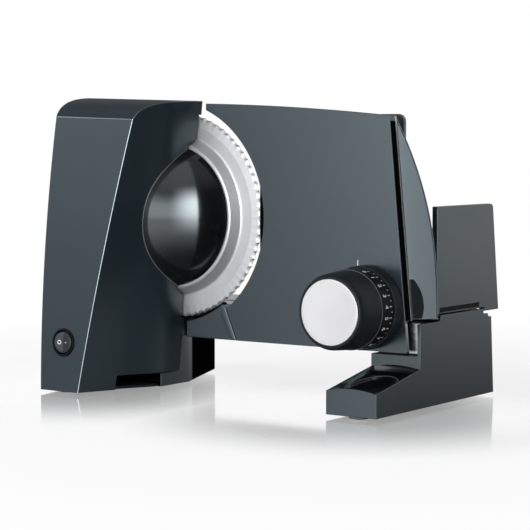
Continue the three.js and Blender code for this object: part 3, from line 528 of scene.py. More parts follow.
def towerColumns(inset, rear):
    f = towerForm
    n, m = f["columns"], f["faceColumns"]
    left, front = f["leftFront"] + inset, (f["frontFloor"] + inset, f["frontTop"] + inset)
    rearX = f["leftRear"] + inset
    scoop = []
    for j in range(n + 1):
        low, top = scoopColumn(j / n)
        low[0], top[0] = low[0] - inset, top[0] - inset
        if j == 0:
            low[1], top[1] = front
        if j == n:
            low[1] = top[1] = rear
        p = min(1.0, 3 * j / n)   # the bow dies out over the first third of the scoop
        scoop.append((low, top, (0.0, p ** 3 - 1.5 * p * p - 0.5 * p + 1)))
    face = []
    for i in range(m):
        low, top = [(mix(left, scoop[0][k][0], i / m), front[k]) for k in range(2)]
        face.append((low, top, (1 - i / m, 1.0)))
    side = []
    for j in range(1, n + 1):
        yTop = towerColumn(*scoop[j], columnTop(*scoop[j], inset))[1]
        z = f["sideGuess"]
        for _ in range(f["sideRounds"]):
            edge = mix(front[0], front[1], z / f["height"])
            s = min(1.0, max(0.0, (yTop - edge) / (rear - edge)))
            z = crestHeight(mix(left, rearX, s), yTop, inset)
        low, top = [(mix(left, rearX, s), mix(front[k], rear, s)) for k in range(2)]
        side.append((low, top, (1 - s, 1 - s)))
    return side, face, scoop


def towerSolid(name, inset, rear, floor):
    side, face, scoop = towerColumns(inset, rear)
    m, rows = towerForm["faceColumns"], towerForm["rows"]
    ring = side[::-1] + face + scoop
    points = []
    for column in ring:
        high = columnTop(*column, inset)
        for r in range(rows + 1):
            z = mix(floor, high, r / rows)
            points.append((*towerColumn(*column, z), z))
    step = rows + 1
    n = len(ring)
    faces = []
    for a in range(0, (n - 1) * step, step):
        faces += [(a + r, a + step + r, a + step + r + 1, a + r + 1) for r in range(rows)]
    tops = [c * step + rows for c in range(n)]
    k = len(side)
    crest = [tops[k:k + m + 1]]   # the front edge, then one row for each pair of side and scoop columns
    for j in range(1, k + 1):
        a, b = tops[k - j], tops[k + m + j]
        row = [a]
        for i in range(1, m):
            points.append(tuple(mix(points[a][q], points[b][q], i / m) for q in range(3)))
            row.append(len(points) - 1)
        crest.append(row + [b])
    for low, high in zip(crest, crest[1:]):
        faces += [(low[i], low[i + 1], high[i + 1], high[i]) for i in range(m)]
    last = (n - 1) * step
    faces.append((*range(step), *crest[-1][1:-1], *range(last + rows, last - 1, -1)))
    faces.append(tuple(c * step for c in range(n)))
    obj = solidFrom(name, points, faces)
    edges = [tops, crest[-1]] + [list(range(c * step, c * step + step)) for c in (0, k, k + m, n - 1)]
    crisp = {frozenset(pair) for edge in edges for pair in zip(edge, edge[1:])}
    weights = obj.data.attributes.new("bevel_weight_edge", "FLOAT", "EDGE")
    for edge in obj.data.edges:
        weights.data[edge.index].value = 1.0 if frozenset(edge.vertices) in crisp else 0.0
    return obj


def towerInside():
    return towerSolid("towerInside", towerForm["wall"], towerForm["past"], -towerForm["past"])


domeForm = {"rim": 58.6, "rimY": -12.2, "apexY": -51.0, "thick": 2.5, "gap": 0.4, "bead": 0.5,
            "ballSteps": 64, "outerSteps": 40, "innerSteps": 20, "seamSteps": 160, "seamGap": 0.2,
            "seamOut": 0.3, "seamRear": -13.5}
domeSag = domeForm["rimY"] - domeForm["apexY"]
domeRadius = (domeForm["rim"] ** 2 + domeSag ** 2) / (2 * domeSag)
domeY = domeForm["apexY"] + domeRadius
switchForm = {"x": -49.5, "z": 40.0, "span": 10.0, "hole": 10.9, "holeFront": -6, "holeRear": 10}


def frontY(z):
    return towerColumn((0, towerForm["frontFloor"]), (0, towerForm["frontTop"]), (0, 1), z)[1]


switchX, switchZ, switchSpan = switchForm["x"], switchForm["z"], switchForm["span"]
switchY = frontY(switchZ)
lean = math.atan2(frontY(switchZ + switchSpan) - frontY(switchZ - switchSpan), 2 * switchSpan)


def leanSpot(x, y, z):   # a point on the leaning switch face
    c, s = math.cos(lean), math.sin(lean)
    return spot(switchX + x, switchY + y * c + z * s, switchZ - y * s + z * c)


def ballArc(radius, turn, steps):   # (radius, y) on a ball about the dome's centre, from its front point
    return [(radius * math.sin(turn * i / steps), domeY - radius * math.cos(turn * i / steps))
            for i in range(steps + 1)]


tower = towerSolid("motorTower", 0, 0.0, 0.0)
tower.data.materials.append(towerPlastic)
# the rounded edges take the stronger-reflecting plastic: a painted highlight along them
tower.data.materials.append(edgeShine)
soften(tower, towerForm["rim"], 4, weighted=True)
combine(tower, towerInside())
domeBall = ballArc(domeRadius + domeForm["gap"], math.pi, domeForm["ballSteps"])
for name, profile in (("domeHole", domeBall), ("bladePocket", towerForm["bladePocket"])):
    combine(tower, turned(name, profile, 0, bladeAxisZ, roundSides))
combine(tower, drum("switchHole", switchForm["hole"], switchForm["holeFront"], switchForm["holeRear"],
                    0, 0, 64, leanSpot))
combine(tower, block("toeRecess", *towerForm["toeRecess"]))
fit(shade(tower, 34), "base", towerPlastic, ["motor_housing"])
print("tower:", len(tower.data.polygons), "faces")

# dome, and a light grey bead round it that stands in for the highlight on the hole's lip: a painted highlight
domeInner = domeRadius - domeForm["thick"]
rimTurn = math.asin(domeForm["rim"] / domeRadius)
innerTurn = math.acos((domeY - domeForm["rimY"]) / domeInner)
capProfile = ballArc(domeRadius, rimTurn, domeForm["outerSteps"])
capProfile += ballArc(domeInner, innerTurn, domeForm["innerSteps"])[::-1]
domeCap = turned("domeCap", capProfile, 0, bladeAxisZ, fineSides)
combine(domeCap, towerInside())
fit(shade(domeCap), "base", glossBlack, ["dome_cover"])


def domeSeam():   # where the dome meets the tower's scoop
    lower, upper = [], []
    for t in fractions(domeForm["seamSteps"]):
        low, top = scoopColumn(t)
        dx, dy = [(top[k] - low[k]) / towerForm["height"] for k in range(2)]
        a = dx * dx + dy * dy + 1
        b = 2 * (low[0] * dx + (low[1] - domeY) * dy - bladeAxisZ)
        c = low[0] ** 2 + (low[1] - domeY) ** 2 + bladeAxisZ ** 2 - (domeRadius + domeForm["seamGap"]) ** 2
        inside = b * b - 4 * a * c
        if inside <= 0:
            continue
        for sign, row in ((-1, lower), (1, upper)):
            z = (-b + sign * math.sqrt(inside)) / (2 * a)
            y = low[1] + dy * z
            if y < domeForm["seamRear"]:
                row.append((low[0] + dx * z + domeForm["seamOut"], y, z))
    return lower[::-1] + upper


# painted highlight: a light grey bead along the seam, pushed out from the scoop so it shows as the lip's
# highlight line
domeBead = beadAlong("domeBead", lineAndHighlightGrey, domeSeam(), domeForm["bead"])
fit(domeBead, "base", lineAndHighlightGrey)

# blade: a dished steel disc with ground scallops along its edge
bladeForm = {
    "teeth": 76, "perTooth": 8, "radius": 85.0, "notch": 0.9, "scallop": 82.2, "arch": 1.5, "lead": 0.15,
    "rimY": (-1.62, -1.52, -0.3, 0),
    "front": [(5.3, -11.4), (58.0, -11.4), (60.0, -11.2), (61.0, -10.6), (65.0, -4.1), (65.6, -3.2),
              (66.4, -2.6), (67.4, -2.4), (73, -2.4), (76.2, -2.4), (76.5, -2.34)],
    "rear": [(72, 0), (66.2, -0.8), (60.6, -9.7), (58, -9.9), (5.3, -9.9)]}


def bladeMesh():
    f = bladeForm
    steps = f["teeth"] * f["perTooth"]
    points = []
    for s in range(steps):
        p = abs(2 * (s % f["perTooth"]) / f["perTooth"] - 1)   # 1 at a tooth's tip, 0 in mid-scallop
        edge = f["radius"] - f["notch"] * (1 - p * p)
        start = f["scallop"] + f["arch"] * p * p
        profile = f["front"] + list(zip((start - f["lead"], start, edge, edge), f["rimY"])) + f["rear"]
        points += turnedRow(profile, 2 * math.pi * s / steps, 0, bladeAxisZ)
    return solidFrom("slicingBlade", points, bandFaces(steps, len(profile), loop=True))


blade = fit(shade(bladeMesh(), 9), "blade_spindle", groundSteel, ["blade"])
print("blade:", len(blade.data.polygons), "faces")

# stop plate, its sheet face and index mark, with near-black strips of painted shade on its right side and along
# its arc edge
plateForm = {
    "front": -11.0, "boxRear": -2.4, "faceFront": -2.1, "arc": 94.0, "arcLow": math.radians(-52.8),
    "topLeft": (36.5, 234.0), "topBend": (122.0, 231.8), "topRight": (210.7, 222.8), "lowRight": 228.0,
    "lowLeft": 67.6, "low": 41.7, "corner": 2.0, "round": 1.3, "wall": 3.0, "past": 2.0, "shaftHole": 4.3,
    "faceHoles": [(knobX, 4.7), (88.0, 3.3), (208.0, 3.3)], "holeZ": 57.4,
    "cornerFill": (211.5, 230, -12, 5, 30, 69), "cornerCut": (213, 240, -7.6, 5, 30, 66)}
plateSlope = (plateForm["lowRight"] - plateForm["topRight"][0]) / (plateForm["topRight"][1] - plateForm["low"])


def edgeX(z):
    return plateForm["lowRight"] - (z - plateForm["low"]) * plateSlope


def plateOutline(inset=0.0):
    f = plateForm
    low, right = f["low"] + inset, f["lowRight"] - inset
    out = [(f["lowLeft"] + inset, low), (right - f["corner"], low)]
    for t in fractions(6)[1:]:
        out.append((right - f["corner"] * ((1 - t) ** 2 + plateSlope * t * t), low + f["corner"] * t * t))
    (x0, z0), (x1, z1), (x2, z2) = f["topRight"], f["topBend"], f["topLeft"]
    for t in fractions(24):
        out.append((mix(mix(x0 - inset, x1, t), mix(x1, x2 + inset, t), t),
                    mix(mix(z0, z1, t), mix(z1, z2, t), t) - inset))
    radius = f["arc"] + inset
    start = math.acos((x2 + inset) / radius)
    return out + [bladeArc(radius, mix(start, f["arcLow"], t)) for t in fractions(64)]


plateShell = slab("stopPlateShell", plateOutline(), plateForm["front"], plateForm["boxRear"], "Y")
plateHollow = slab("plateHollow", plateOutline(plateForm["wall"]), plateForm["front"] + plateForm["wall"],
                   plateForm["past"], "Y")
combine(plateHollow, block("cornerFill", *plateForm["cornerFill"]))
combine(plateShell, plateHollow)
combine(plateShell, drum("shaftHole", plateForm["shaftHole"], -20, 5, knobX, knobZ, 32))
combine(plateShell, block("cornerCut", *plateForm["cornerCut"]))
soften(plateShell, plateForm["round"], 4, 50)
fit(shade(plateShell), "stop_plate", anthracite, ["stop_plate"])
plateFace = slab("stopPlateFace", plateOutline(), plateForm["faceFront"], 0.0, "Y")
for x, radius in plateForm["faceHoles"]:
    combine(plateFace, drum("faceHole", radius, -5, 5, x, plateForm["holeZ"], 32))
combine(plateFace, block("cornerCut", *plateForm["cornerCut"]))
soften(plateFace, 0.4, 2, 50)
fit(shade(plateFace), "stop_plate", satinFace, ["stop_face"])
# painted shade: two near-black strips over the plate's right side, standing in for the shade there
plateShadeForm = {"low": 66.4, "high": 219.0, "proud": 0.4, "sunk": 0.6, "bands": [(-9.4, -6.1), (-5.5, -2.6)]}
lowZ, highZ = plateShadeForm["low"], plateShadeForm["high"]
plateShadeLine = [(edgeX(lowZ) - plateShadeForm["sunk"], lowZ), (edgeX(lowZ) + plateShadeForm["proud"], lowZ),
            (edgeX(highZ) + plateShadeForm["proud"], highZ), (edgeX(highZ) - plateShadeForm["sunk"], highZ)]
for i, (y0, y1) in enumerate(plateShadeForm["bands"]):
    plateShadeStrip = soften(slab(f"plateSideTrim{i + 1}", plateShadeLine, y0, y1, "Y"), 0.3, 2)
    fit(shade(plateShadeStrip), "stop_plate", paintedShadeBlack)
# painted shade: a near-black band along the plate's arc edge beside the blade
lipShadeForm = {"arc": 94.3, "chord": 85.7, "half": 27.0, "front": -4.2, "rear": -0.6, "steps": 16}
lipTurn = math.asin(lipShadeForm["half"] / lipShadeForm["arc"])
lipShadeLine = [(lipShadeForm["chord"], bladeAxisZ + end * lipShadeForm["half"]) for end in (-1, 1)]
lipShadeLine += [bladeArc(lipShadeForm["arc"], lipTurn * i / lipShadeForm["steps"])
            for i in range(lipShadeForm["steps"], -lipShadeForm["steps"] - 1, -1)]
plateLip = slab("plateLip", lipShadeLine, lipShadeForm["front"], lipShadeForm["rear"], "Y")
fit(shade(soften(plateLip, 0.25, 2, 50)), "stop_plate", paintedShadeBlack)
indexForm = {"x": 183.2, "low": 107.4, "high": 111.6, "wide": 0.9, "front": -11.25, "rear": -10.9}
indexMark = block("indexMark", indexForm["x"] - indexForm["wide"] / 2, indexForm["x"] + indexForm["wide"] / 2,
                  indexForm["front"], indexForm["rear"], indexForm["low"], indexForm["high"])
fit(shade(soften(indexMark, 0.1, 2)), "stop_plate", markWhite)
print("stop plate done")

# wing: a thin lens that turns back from the plate's right edge, with a dark line on it and a dark patch that is
# a painted reflection of the knob
wingForm = {"turn": math.radians(43), "thick": 2.4, "low": 67.0, "high": 220.5, "belly": 110.0,
            "reach": 22.0, "lowReach": 20.0, "tip": 0.6, "fall": 2.1, "startY": 0.6, "rows": 48, "columns": 10,
            "lineLow": 68, "lineHigh": 219.5, "lineIn": 0.9, "lineOut": 0.05, "lineRadius": 0.28}
# painted reflection: the size and place of the knob's dark reflection on the wing
knobReflectionForm = {"radius": 40.0, "proud": 0.5, "sunk": 0.2, "low": 67.4, "high": 97.6, "start": 0.2, "least": 0.3}


def wingReach(z):
    f = wingForm
    if z < f["belly"]:
        t = (f["belly"] - z) / (f["belly"] - f["low"])
        return mix(f["reach"], f["lowReach"], t * t)
    t = (z - f["belly"]) / (f["high"] - f["belly"])
    return max(f["tip"], f["reach"] * (1 - t ** f["fall"]))


def wingPoint(s, z, depth):   # s along the wing from the plate's edge, depth through it
    c, d = math.cos(wingForm["turn"]), math.sin(wingForm["turn"])
    return (edgeX(z) + s * c - depth * d, wingForm["startY"] + s * d + depth * c, z)


def wingMesh():
    cols, rows = wingForm["columns"], wingForm["rows"]
    ring = 2 * (cols + 1)
    points = []
    for t in fractions(rows):
        z = mix(wingForm["low"], wingForm["high"], t)
        across = [wingReach(z) * i / cols for i in range(cols + 1)]
        points += [wingPoint(s, z, 0) for s in across]
        points += [wingPoint(s, z, wingForm["thick"]) for s in across[::-1]]
    faces = bandFaces(rows + 1, ring, closed=False, loop=True)
    for a in (0, rows * ring):
        faces += [(a + i, a + i + 1, a + ring - 2 - i, a + ring - 1 - i) for i in range(cols)]
    return solidFrom("plateWing", points, faces)


def coverMesh():   # a painted reflection of the knob: a dark patch on the wing, bounded by a circle round the knob's axis
    f = knobReflectionForm
    edge = []
    for t in fractions(24):
        z = mix(f["low"], f["high"], t)
        half = math.sqrt(max(f["radius"] ** 2 - (z - knobZ) ** 2, 0))
        s = (knobX + half - edgeX(z)) / math.cos(wingForm["turn"])
        if s > f["least"]:
            edge.append((s, z))
    line = [(f["start"], z) for s, z in edge] + edge[::-1]
    return prism("gearCover", *[[wingPoint(s, z, d) for s, z in line] for d in (-f["proud"], f["sunk"])])


wing = soften(wingMesh(), 0.5, 3, 40)
fit(shade(wing, 34), "stop_plate", anthracite, ["plate_wing"])
lineHeights = [mix(wingForm["lineLow"], wingForm["lineHigh"], t) for t in fractions(60)]
wingEdge = [wingPoint(wingReach(z) - wingForm["lineIn"], z, -wingForm["lineOut"]) for z in lineHeights]
wingLine = beadAlong("wingEdgeLine", trimBlack, wingEdge, wingForm["lineRadius"])
fit(wingLine, "stop_plate", trimBlack)
# painted reflection: the knob's dark reflection on the glossy wing, as a thin black patch
fit(shade(soften(coverMesh(), 0.2, 2, 50)), "stop_plate", trimBlack)

# knob
knobForm = {
    "step": 16.0, "zero": 20.0, "marks": 21, "radius": 31.0, "digitSize": 6.0, "digitY": -32.4,
    "digitHigh": 0.12, "tick": (0.55, 3.0, 0.2), "tickY": -26.4, "dot": (0.8, 0.8, 0.2), "dotY": -25.2,
    "studRows": 4, "studs": 150, "studRadius": 32.42, "studStep": 2.4, "stud": (0.7, 0.9, 0.3),
    "studY": -20.2, "studPitch": 2.2,
    "cap": [(4.3, -63.1), (25.6, -63.1), (25.6, -64.4), (25.9, -64.68), (26.6, -64.7), (27.2, -64.4),
            (27.7, -63.6), (28.4, -62.4), (28.9, -61.0), (29.6, -52), (30.4, -40), (30.5, -38.6),
            (30.3, -38.3), (26, -38.3), (26, -59.6), (4.3, -59.6)],
    "face": [(0, -64.82), (8, -64.84), (18, -64.9), (24.2, -65.0), (24.9, -64.9), (25.25, -64.5),
             (25.25, -63.5), (0, -63.5)],
    "dial": [(4.3, -37.7), (30.4, -37.7), (30.8, -37.5), (31, -37.1), (31, -23.1), (30.7, -22.7), (4.3, -22.7)],
    "line": [(30.2, -38.2), (30.7, -38.15), (30.8, -37.98), (30.7, -37.8), (30.2, -37.75)],
    "collar": [(6, -22.2), (31.8, -22.2), (32.3, -21.9), (32.4, -21.4), (32.4, -12), (32.1, -11.5), (6, -11.4)]}


def knobTurned(name, profile, angle=40, loop=True):
    return shade(turned(name, knobForm[profile], knobX, knobZ, fineSides, loop=loop), angle)


def knobRing(name, material, count, radius, start, step, size, y):
    return ringOf(name, material, count, radius, start, step, size, (knobX, y, knobZ))


fit(knobTurned("knobCap", "cap"), "knob", mattBlack, ["knob_cap"])
fit(knobTurned("knobFaceDisc", "face", loop=False), "knob", knobSatin, ["knob_face"])
fit(knobTurned("knobDial", "dial"), "knob", trimBlack, ["knob_dial"])
fit(knobTurned("knobLine", "line", 50), "knob", lineAndHighlightGrey)
fit(knobTurned("knobCollar", "collar"), "stop_plate", mattBlack, ["knob_collar"])
zero, dialStep, dialRadius = knobForm["zero"], knobForm["step"], knobForm["radius"]
ticks = knobRing("dialTicks", markWhite, knobForm["marks"], dialRadius, zero, dialStep, knobForm["tick"],
                 knobForm["tickY"])
fit(ticks, "knob", markWhite)
dots = knobRing("dialDots", markWhite, knobForm["marks"] - 1, dialRadius, zero + dialStep / 2, dialStep,
                knobForm["dot"], knobForm["dotY"])
fit(dots, "knob", markWhite)
for row in range(knobForm["studRows"]):
    studs = knobRing(f"collarGrain{row + 1}", mattBlack, knobForm["studs"], knobForm["studRadius"],
                     row % 2 * knobForm["studStep"] / 2, knobForm["studStep"], knobForm["stud"],
                     knobForm["studY"] + knobForm["studPitch"] * row)
    fit(studs, "stop_plate", mattBlack)


def dialDigit(label, angle):
    curve = bpy.data.curves.new("digit", "FONT")
    curve.body = label
    curve.size = knobForm["digitSize"]
    curve.align_x = "CENTER"
    curve.align_y = "CENTER"
    curve.extrude = knobForm["digitHigh"]
    curve.resolution_u = 4
    obj = newObject("digit", curve)
    mesh = evaluated(obj)
    bpy.data.objects.remove(obj)
    for v in mesh.vertices:   # wrapped round the dial, its foot towards the operator
        a = math.radians(angle) + v.co.x / dialRadius
        r = dialRadius + v.co.z
        v.co = spot(knobX + r * math.sin(a), knobForm["digitY"] + v.co.y, knobZ + r * math.cos(a))
    return mesh


digits = bmesh.new()
for i in range(knobForm["marks"]):
    digit = dialDigit(str(i), zero + dialStep * i)
    digits.from_mesh(digit)
    bpy.data.meshes.remove(digit)
bmesh.ops.remove_doubles(digits, verts=digits.verts, dist=1e-7)
bmesh.ops.recalc_face_normals(digits, faces=digits.faces)
fit(fromBmesh("dialDigits", digits), "knob", markWhite)
print("knob done")

# blade guard below the blade, with a slanted facet along its seam
guardForm = {
    "left": 16.0, "seam": 1.0, "arc": 88.5, "low": 41.7, "front": -11.0, "rear": 0.0,
    "web": (19, 52, -1, 7.7, 41.7, 49), "lipArcs": (88.8, 85.8), "lipTurn": (-55.0, -78.5),
    "lipY": (-5.0, -0.6), "facet": [(61.2, 43.0), (65.4, 43.0), (55.6, 65.4), (51.4, 63.0)],
    "facetY": (-11.9, -10.9)}


def guardOutline():
    f = guardForm
    seamX, seamZ = bladeArc(plateForm["arc"], plateForm["arcLow"])
    seamX -= f["seam"]
    start = math.atan2(seamZ - bladeAxisZ, seamX)
    end = -math.acos(f["left"] / f["arc"])
    out = [(f["left"], f["low"]), (plateForm["lowLeft"] - f["seam"], f["low"]), (seamX, seamZ)]
    return out + [bladeArc(f["arc"], mix(start, end, t)) for t in fractions(40)[1:]]


guard = slab("bladeGuard", guardOutline(), guardForm["front"], guardForm["rear"], "Y")
combine(guard, block("guardWeb", *guardForm["web"]), "UNION")
soften(guard, 1.0, 3, 40)
fit(shade(guard), "base", anthracite, ["blade_guard"])
# painted shade: a near-black band on the guard's arc, under the blade's lower edge
lipAngles = [math.radians(mix(*guardForm["lipTurn"], t)) for t in fractions(24)]
outerArc, innerArc = [[bladeArc(radius, a) for a in lipAngles] for radius in guardForm["lipArcs"]]
guardLip = slab("guardLip", outerArc + innerArc[::-1], *guardForm["lipY"], "Y")
fit(shade(soften(guardLip, 0.25, 2, 50)), "base", paintedShadeBlack)
facet = slab("guardFacet", guardForm["facet"], *guardForm["facetY"], "Y")
fit(shade(soften(facet, 0.45, 2)), "base", anthracite)

# base, foot and dish
footForm = {
    "left": 195.0, "right": 239.0, "front": -74.0, "rear": -10.3, "frontZ": 18.0, "slope": 12.7 / 67,
    "arch": 2.6, "wall": 1.5, "sunk": 3.0, "columns": 24, "hollowFront": 6.0, "hollowRear": 9.0,
    "hollowTop": 40, "hollowPast": 0.3}
dishForm = {
    "inset": 0.15, "thick": 1.2, "below": 0.4, "floorDrop": 3.2, "bowlDrop": 6.5,
    "bowl": (217.0, -46.0, 18.6, 25.5), "liftFront": 3.0, "liftBack": 2.0, "fallSide": 1.6, "fallFront": 2.6,
    "fallBack": 1.4, "columns": 72, "rows": 96, "rimSteps": 96, "rimDrop": 0.35, "rimHighlightBead": 0.3}


def footRim(x, y):   # height of the foot's edge and of the arch over it
    f = footForm
    crown = f["arch"] * (1 - ((2 * x - f["left"] - f["right"]) / (f["right"] - f["left"])) ** 2)
    return f["frontZ"] + (y - f["front"]) * f["slope"], crown


def footMesh():
    f = footForm
    n = f["columns"]
    xs = [mix(f["left"], f["right"], t) for t in fractions(n)]
    back = f["rear"] + f["sunk"]
    points = []
    for y, arched in ((f["front"], False), (f["front"], True), (back, True), (back, False)):
        points += [(x, y, sum(footRim(x, y)) if arched else 0) for x in xs]
    ends = [tuple(k * (n + 1) + i for k in range(4)) for i in (0, n)]
    return solidFrom("footShell", points, bandFaces(4, n + 1) + ends)


dishLeft, dishRight = footForm["left"] + footForm["wall"], footForm["right"] - footForm["wall"]
dishFront, dishRear = footForm["front"] + footForm["wall"], footForm["rear"]


def dishSurface(x, y):   # height of the dish liner: a shallow tray with an oval bowl in it
    d = dishForm
    rim, crown = footRim(x, y)
    bx, by, rx, ry = d["bowl"]
    side = min(x - dishLeft - d["inset"], dishRight - d["inset"] - x)
    front, back = y - dishFront - d["inset"], dishRear - d["inset"] - y
    lift = max(crown * (1 - ease(front / d["liftFront"])), crown * (1 - ease(back / d["liftBack"])))
    fall = ease(min(side / d["fallSide"], front / d["fallFront"], back / d["fallBack"]))
    oval = 1 - ((x - bx) / rx) ** 2 - ((y - by) / ry) ** 2
    return rim + lift - d["below"] - d["floorDrop"] * fall - d["bowlDrop"] * math.sqrt(max(0.0, oval))


def dishMesh():
    d = dishForm
    nx, ny, inset = d["columns"], d["rows"], d["inset"]
    row = [mix(dishLeft + inset, dishRight - inset, t) for t in fractions(nx)]
    points = []
    for drop in (0, d["thick"]):
        for t in fractions(ny):
            y = mix(dishFront + inset, dishRear - inset, t)
            points += [(x, y, dishSurface(x, y) - drop) for x in row]
    step = nx + 1
    size = step * (ny + 1)
    sheet = bandFaces(ny + 1, step, closed=False)
    faces = sheet + [tuple(size + v for v in face) for face in sheet]
    border = list(range(nx)) + [j * step + nx for j in range(ny)]
    border += [ny * step + i for i in range(nx, 0, -1)] + [j * step for j in range(ny, 0, -1)]
    faces += [(a, b, size + b, size + a) for a, b in zip(border, border[1:] + border[:1])]
    return solidFrom("dishLiner", points, faces)


foot = footMesh()
hollowRear = footForm["rear"] + footForm["hollowPast"]
hollowLine = [(dishFront, footForm["hollowFront"]), (dishFront, footForm["hollowTop"]),
              (hollowRear, footForm["hollowTop"]), (hollowRear, footForm["hollowRear"])]
combine(foot, slab("footHollow", hollowLine, dishLeft, dishRight, "X"))
baseBody = nodeCopy("baseBody", "base_frame")
combine(baseBody, foot, "UNION")
flatten(baseBody)
soften(baseBody, 0.5, 3, 40)
fit(shade(baseBody), "base", anthracite, ["base_frame", "pillar_foot"])
fit(shade(dishMesh(), 50), "base", glossBlack, ["dish_liner"])
# painted shade: a near-black sheet inside the toe recess, where it lies in shade
recessCover = block("recessCover", -21.8, -2.8, -22.7, -22.2, 0.4, 10.8)
fit(shade(recessCover), "base", paintedShadeBlack)
# painted shade: a near-black panel over the base block's slanted inner face, which lies in shade
baseShadeForm = {"start": (-2.3, 16.0), "end": (-36.0, 98.0), "from": 0.13, "to": 0.99, "proud": 0.5, "low": 0.6,
            "high": 39.4}
(startX, startY), (endX, endY) = baseShadeForm["start"], baseShadeForm["end"]
across = Vector((endY - startY, startX - endX)).normalized() * baseShadeForm["proud"]
baseShadeLine = [(mix(startX, endX, baseShadeForm[t]) + way * across.x, mix(startY, endY, baseShadeForm[t]) + way * across.y)
             for t, way in (("from", -1), ("from", 1), ("to", 1), ("to", -1))]
sidePanel = slab("sidePanel", baseShadeLine, baseShadeForm["low"], baseShadeForm["high"], "Z")
fit(shade(soften(sidePanel, 0.3, 2)), "base", paintedShadeBlack)
# painted highlight: a light grey bead round the bowl's rim stands in for the highlight line on its edge
bowlX, bowlY, bowlWide, bowlLong = dishForm["bowl"]
rimHighlightPath = []
for i in range(dishForm["rimSteps"] + 1):
    a = 2 * math.pi * i / dishForm["rimSteps"]
    x, y = bowlX + bowlWide * math.cos(a), bowlY + bowlLong * math.sin(a)
    rimHighlightPath.append((x, y, footRim(x, y)[0] - dishForm["floorDrop"] - dishForm["rimDrop"]))
fit(beadAlong("dishRim", lineAndHighlightGrey, rimHighlightPath, dishForm["rimHighlightBead"]), "base", lineAndHighlightGrey)
guideStrip = soften(block("guideStrip", 223.8, 232.8, -2, 1.5, 40.4, 64.6), 0.7, 3)
fit(shade(guideStrip), "base", platedSteel, ["guide_strip"])
padForm = {
    "spots": [(-58, -74), (-58, 82), (217, -62), (217, 84)],
    "profile": [(0, -0.3), (8, -0.3), (8, -1.5), (7.6, -2.2), (7.0, -2.5), (5.6, -2.5), (5.2, -2.1),
                (4.4, -2.1), (4.0, -2.5), (0, -2.5)]}
padShape = turned("padShape", padForm["profile"], 0, 0, 48, put=lambda a, b, c: localSpot(a, c, b))
pads = setOn("rubberPads", rubber, padShape, [(x, y, 0) for x, y in padForm["spots"]])
fit(shade(pads, 50), "base", rubber,
    ["pad_front_left", "pad_rear_left", "pad_front_right", "pad_rear_right"])
glandForm = {
    "x": -62, "z": 22,
    "profile": [(4.2, 98.3), (8, 98.3), (8, 100.4), (7.4, 100.8), (7.4, 101.6), (8, 102), (7.8, 104.6),
                (6.8, 105.8), (5.2, 106), (4.2, 105.4)]}
gland = turned("cordGland", glandForm["profile"], glandForm["x"], glandForm["z"], 48, loop=True)
fit(shade(gland, 50), "base", mattBlack, ["cord_gland"])
print("base done")

# switch: bezel and a round button, dished along its middle line
rockerForm = {
    "middle": -0.6, "rise": 1.2 / 8.7, "edge": 8.9, "rear": 4, "steps": 72,
    "rings": [(0, 0), (2, 0), (4, 0), (6, 0), (7.8, 0), (8.4, 0.12), (8.75, 0.4), (8.9, 0.8)],
    "offX": -3.6, "offRing": [(1.2, -0.1), (1.75, -0.1), (1.75, 0.1), (1.2, 0.1)],
    "onX": 3.1, "onHalf": (0.9, 0.28), "markDepth": 0.1,
    "bezel": [(9.5, 9), (10.5, 9), (10.5, -0.3), (11.4, -0.3), (11.4, -0.7), (11.2, -1.1), (10.8, -1.3),
              (10.0, -1.3), (9.65, -1.1), (9.5, -0.7)]}
bezel = turned("switchBezel", rockerForm["bezel"], 0, 0, 96, loop=True, put=leanSpot)
fit(shade(bezel, 50), "base", trimBlack, ["switch_bezel"])


def rockY(x):
    return rockerForm["middle"] - rockerForm["rise"] * abs(x)


def rockSpot(x, y, z):   # a point lying on one of the rocker's two slopes
    return leanSpot(x, rockY(x) + y, z)


def rockerMesh():
    f = rockerForm
    steps, n = f["steps"], len(f["rings"]) + 1
    points = []
    for s in range(steps):
        a = 2 * math.pi * s / steps
        points += [(x, rockY(x) + y, z) for x, y, z in turnedRow(f["rings"], a, 0, 0)]
        points += turnedRow([(f["edge"], f["rear"])], a, 0, 0)
    back = tuple(s * n + n - 1 for s in range(steps))
    return solidFrom("switchRocker", points, bandFaces(steps, n) + [back], leanSpot)


fit(shade(rockerMesh(), 40), "switch_rocker", rockerGrey, ["switch_rocker"])
offMark = turned("offMark", rockerForm["offRing"], rockerForm["offX"], 0, 32, loop=True, put=rockSpot)
fit(offMark, "switch_rocker", markWhite)
wide, tall = rockerForm["onHalf"]
dashLine = [(-wide, -tall), (wide, -tall), (wide, tall), (-wide, tall)]
dashEnds = [[(rockerForm["onX"] + x, y, z) for x, z in dashLine]
            for y in (-rockerForm["markDepth"], rockerForm["markDepth"])]
fit(prism("onMark", *dashEnds, rockSpot), "switch_rocker", markWhite)

# rear side: panel, screws and blade lock
panelBody = soften(nodeCopy("rearPanel", "rear_panel"), 0.6, 2, 40)
fit(shade(panelBody), "base", mattBlack, ["rear_panel"])
screwForm = {
    "spots": [(-76, 214), (-10, 216), (-76, 72), (-16, 66)], "rear": -6.2,
    "slots": [(2.2, 0.35), (0.35, 2.2)], "slotY": (0.7, 2.4),
    "head": [(0, -4), (1.6, -4), (1.6, 0), (3.2, 0), (3.2, 0.5), (2.9, 1.1), (2.2, 1.5), (1.0, 1.6), (0, 1.6)]}
screwHead = turned("screwHead", screwForm["head"], 0, 0, 32, put=localSpot)
slotLow, slotHigh = screwForm["slotY"]
for wide, tall in screwForm["slots"]:
    slotLine = [(-wide, slotLow), (wide, slotLow), (wide, slotHigh), (-wide, slotHigh)]
    slotEnds = [[(x, y, z) for x, y in slotLine] for z in (-tall, tall)]
    combine(screwHead, prism("slotCut", *slotEnds, localSpot))
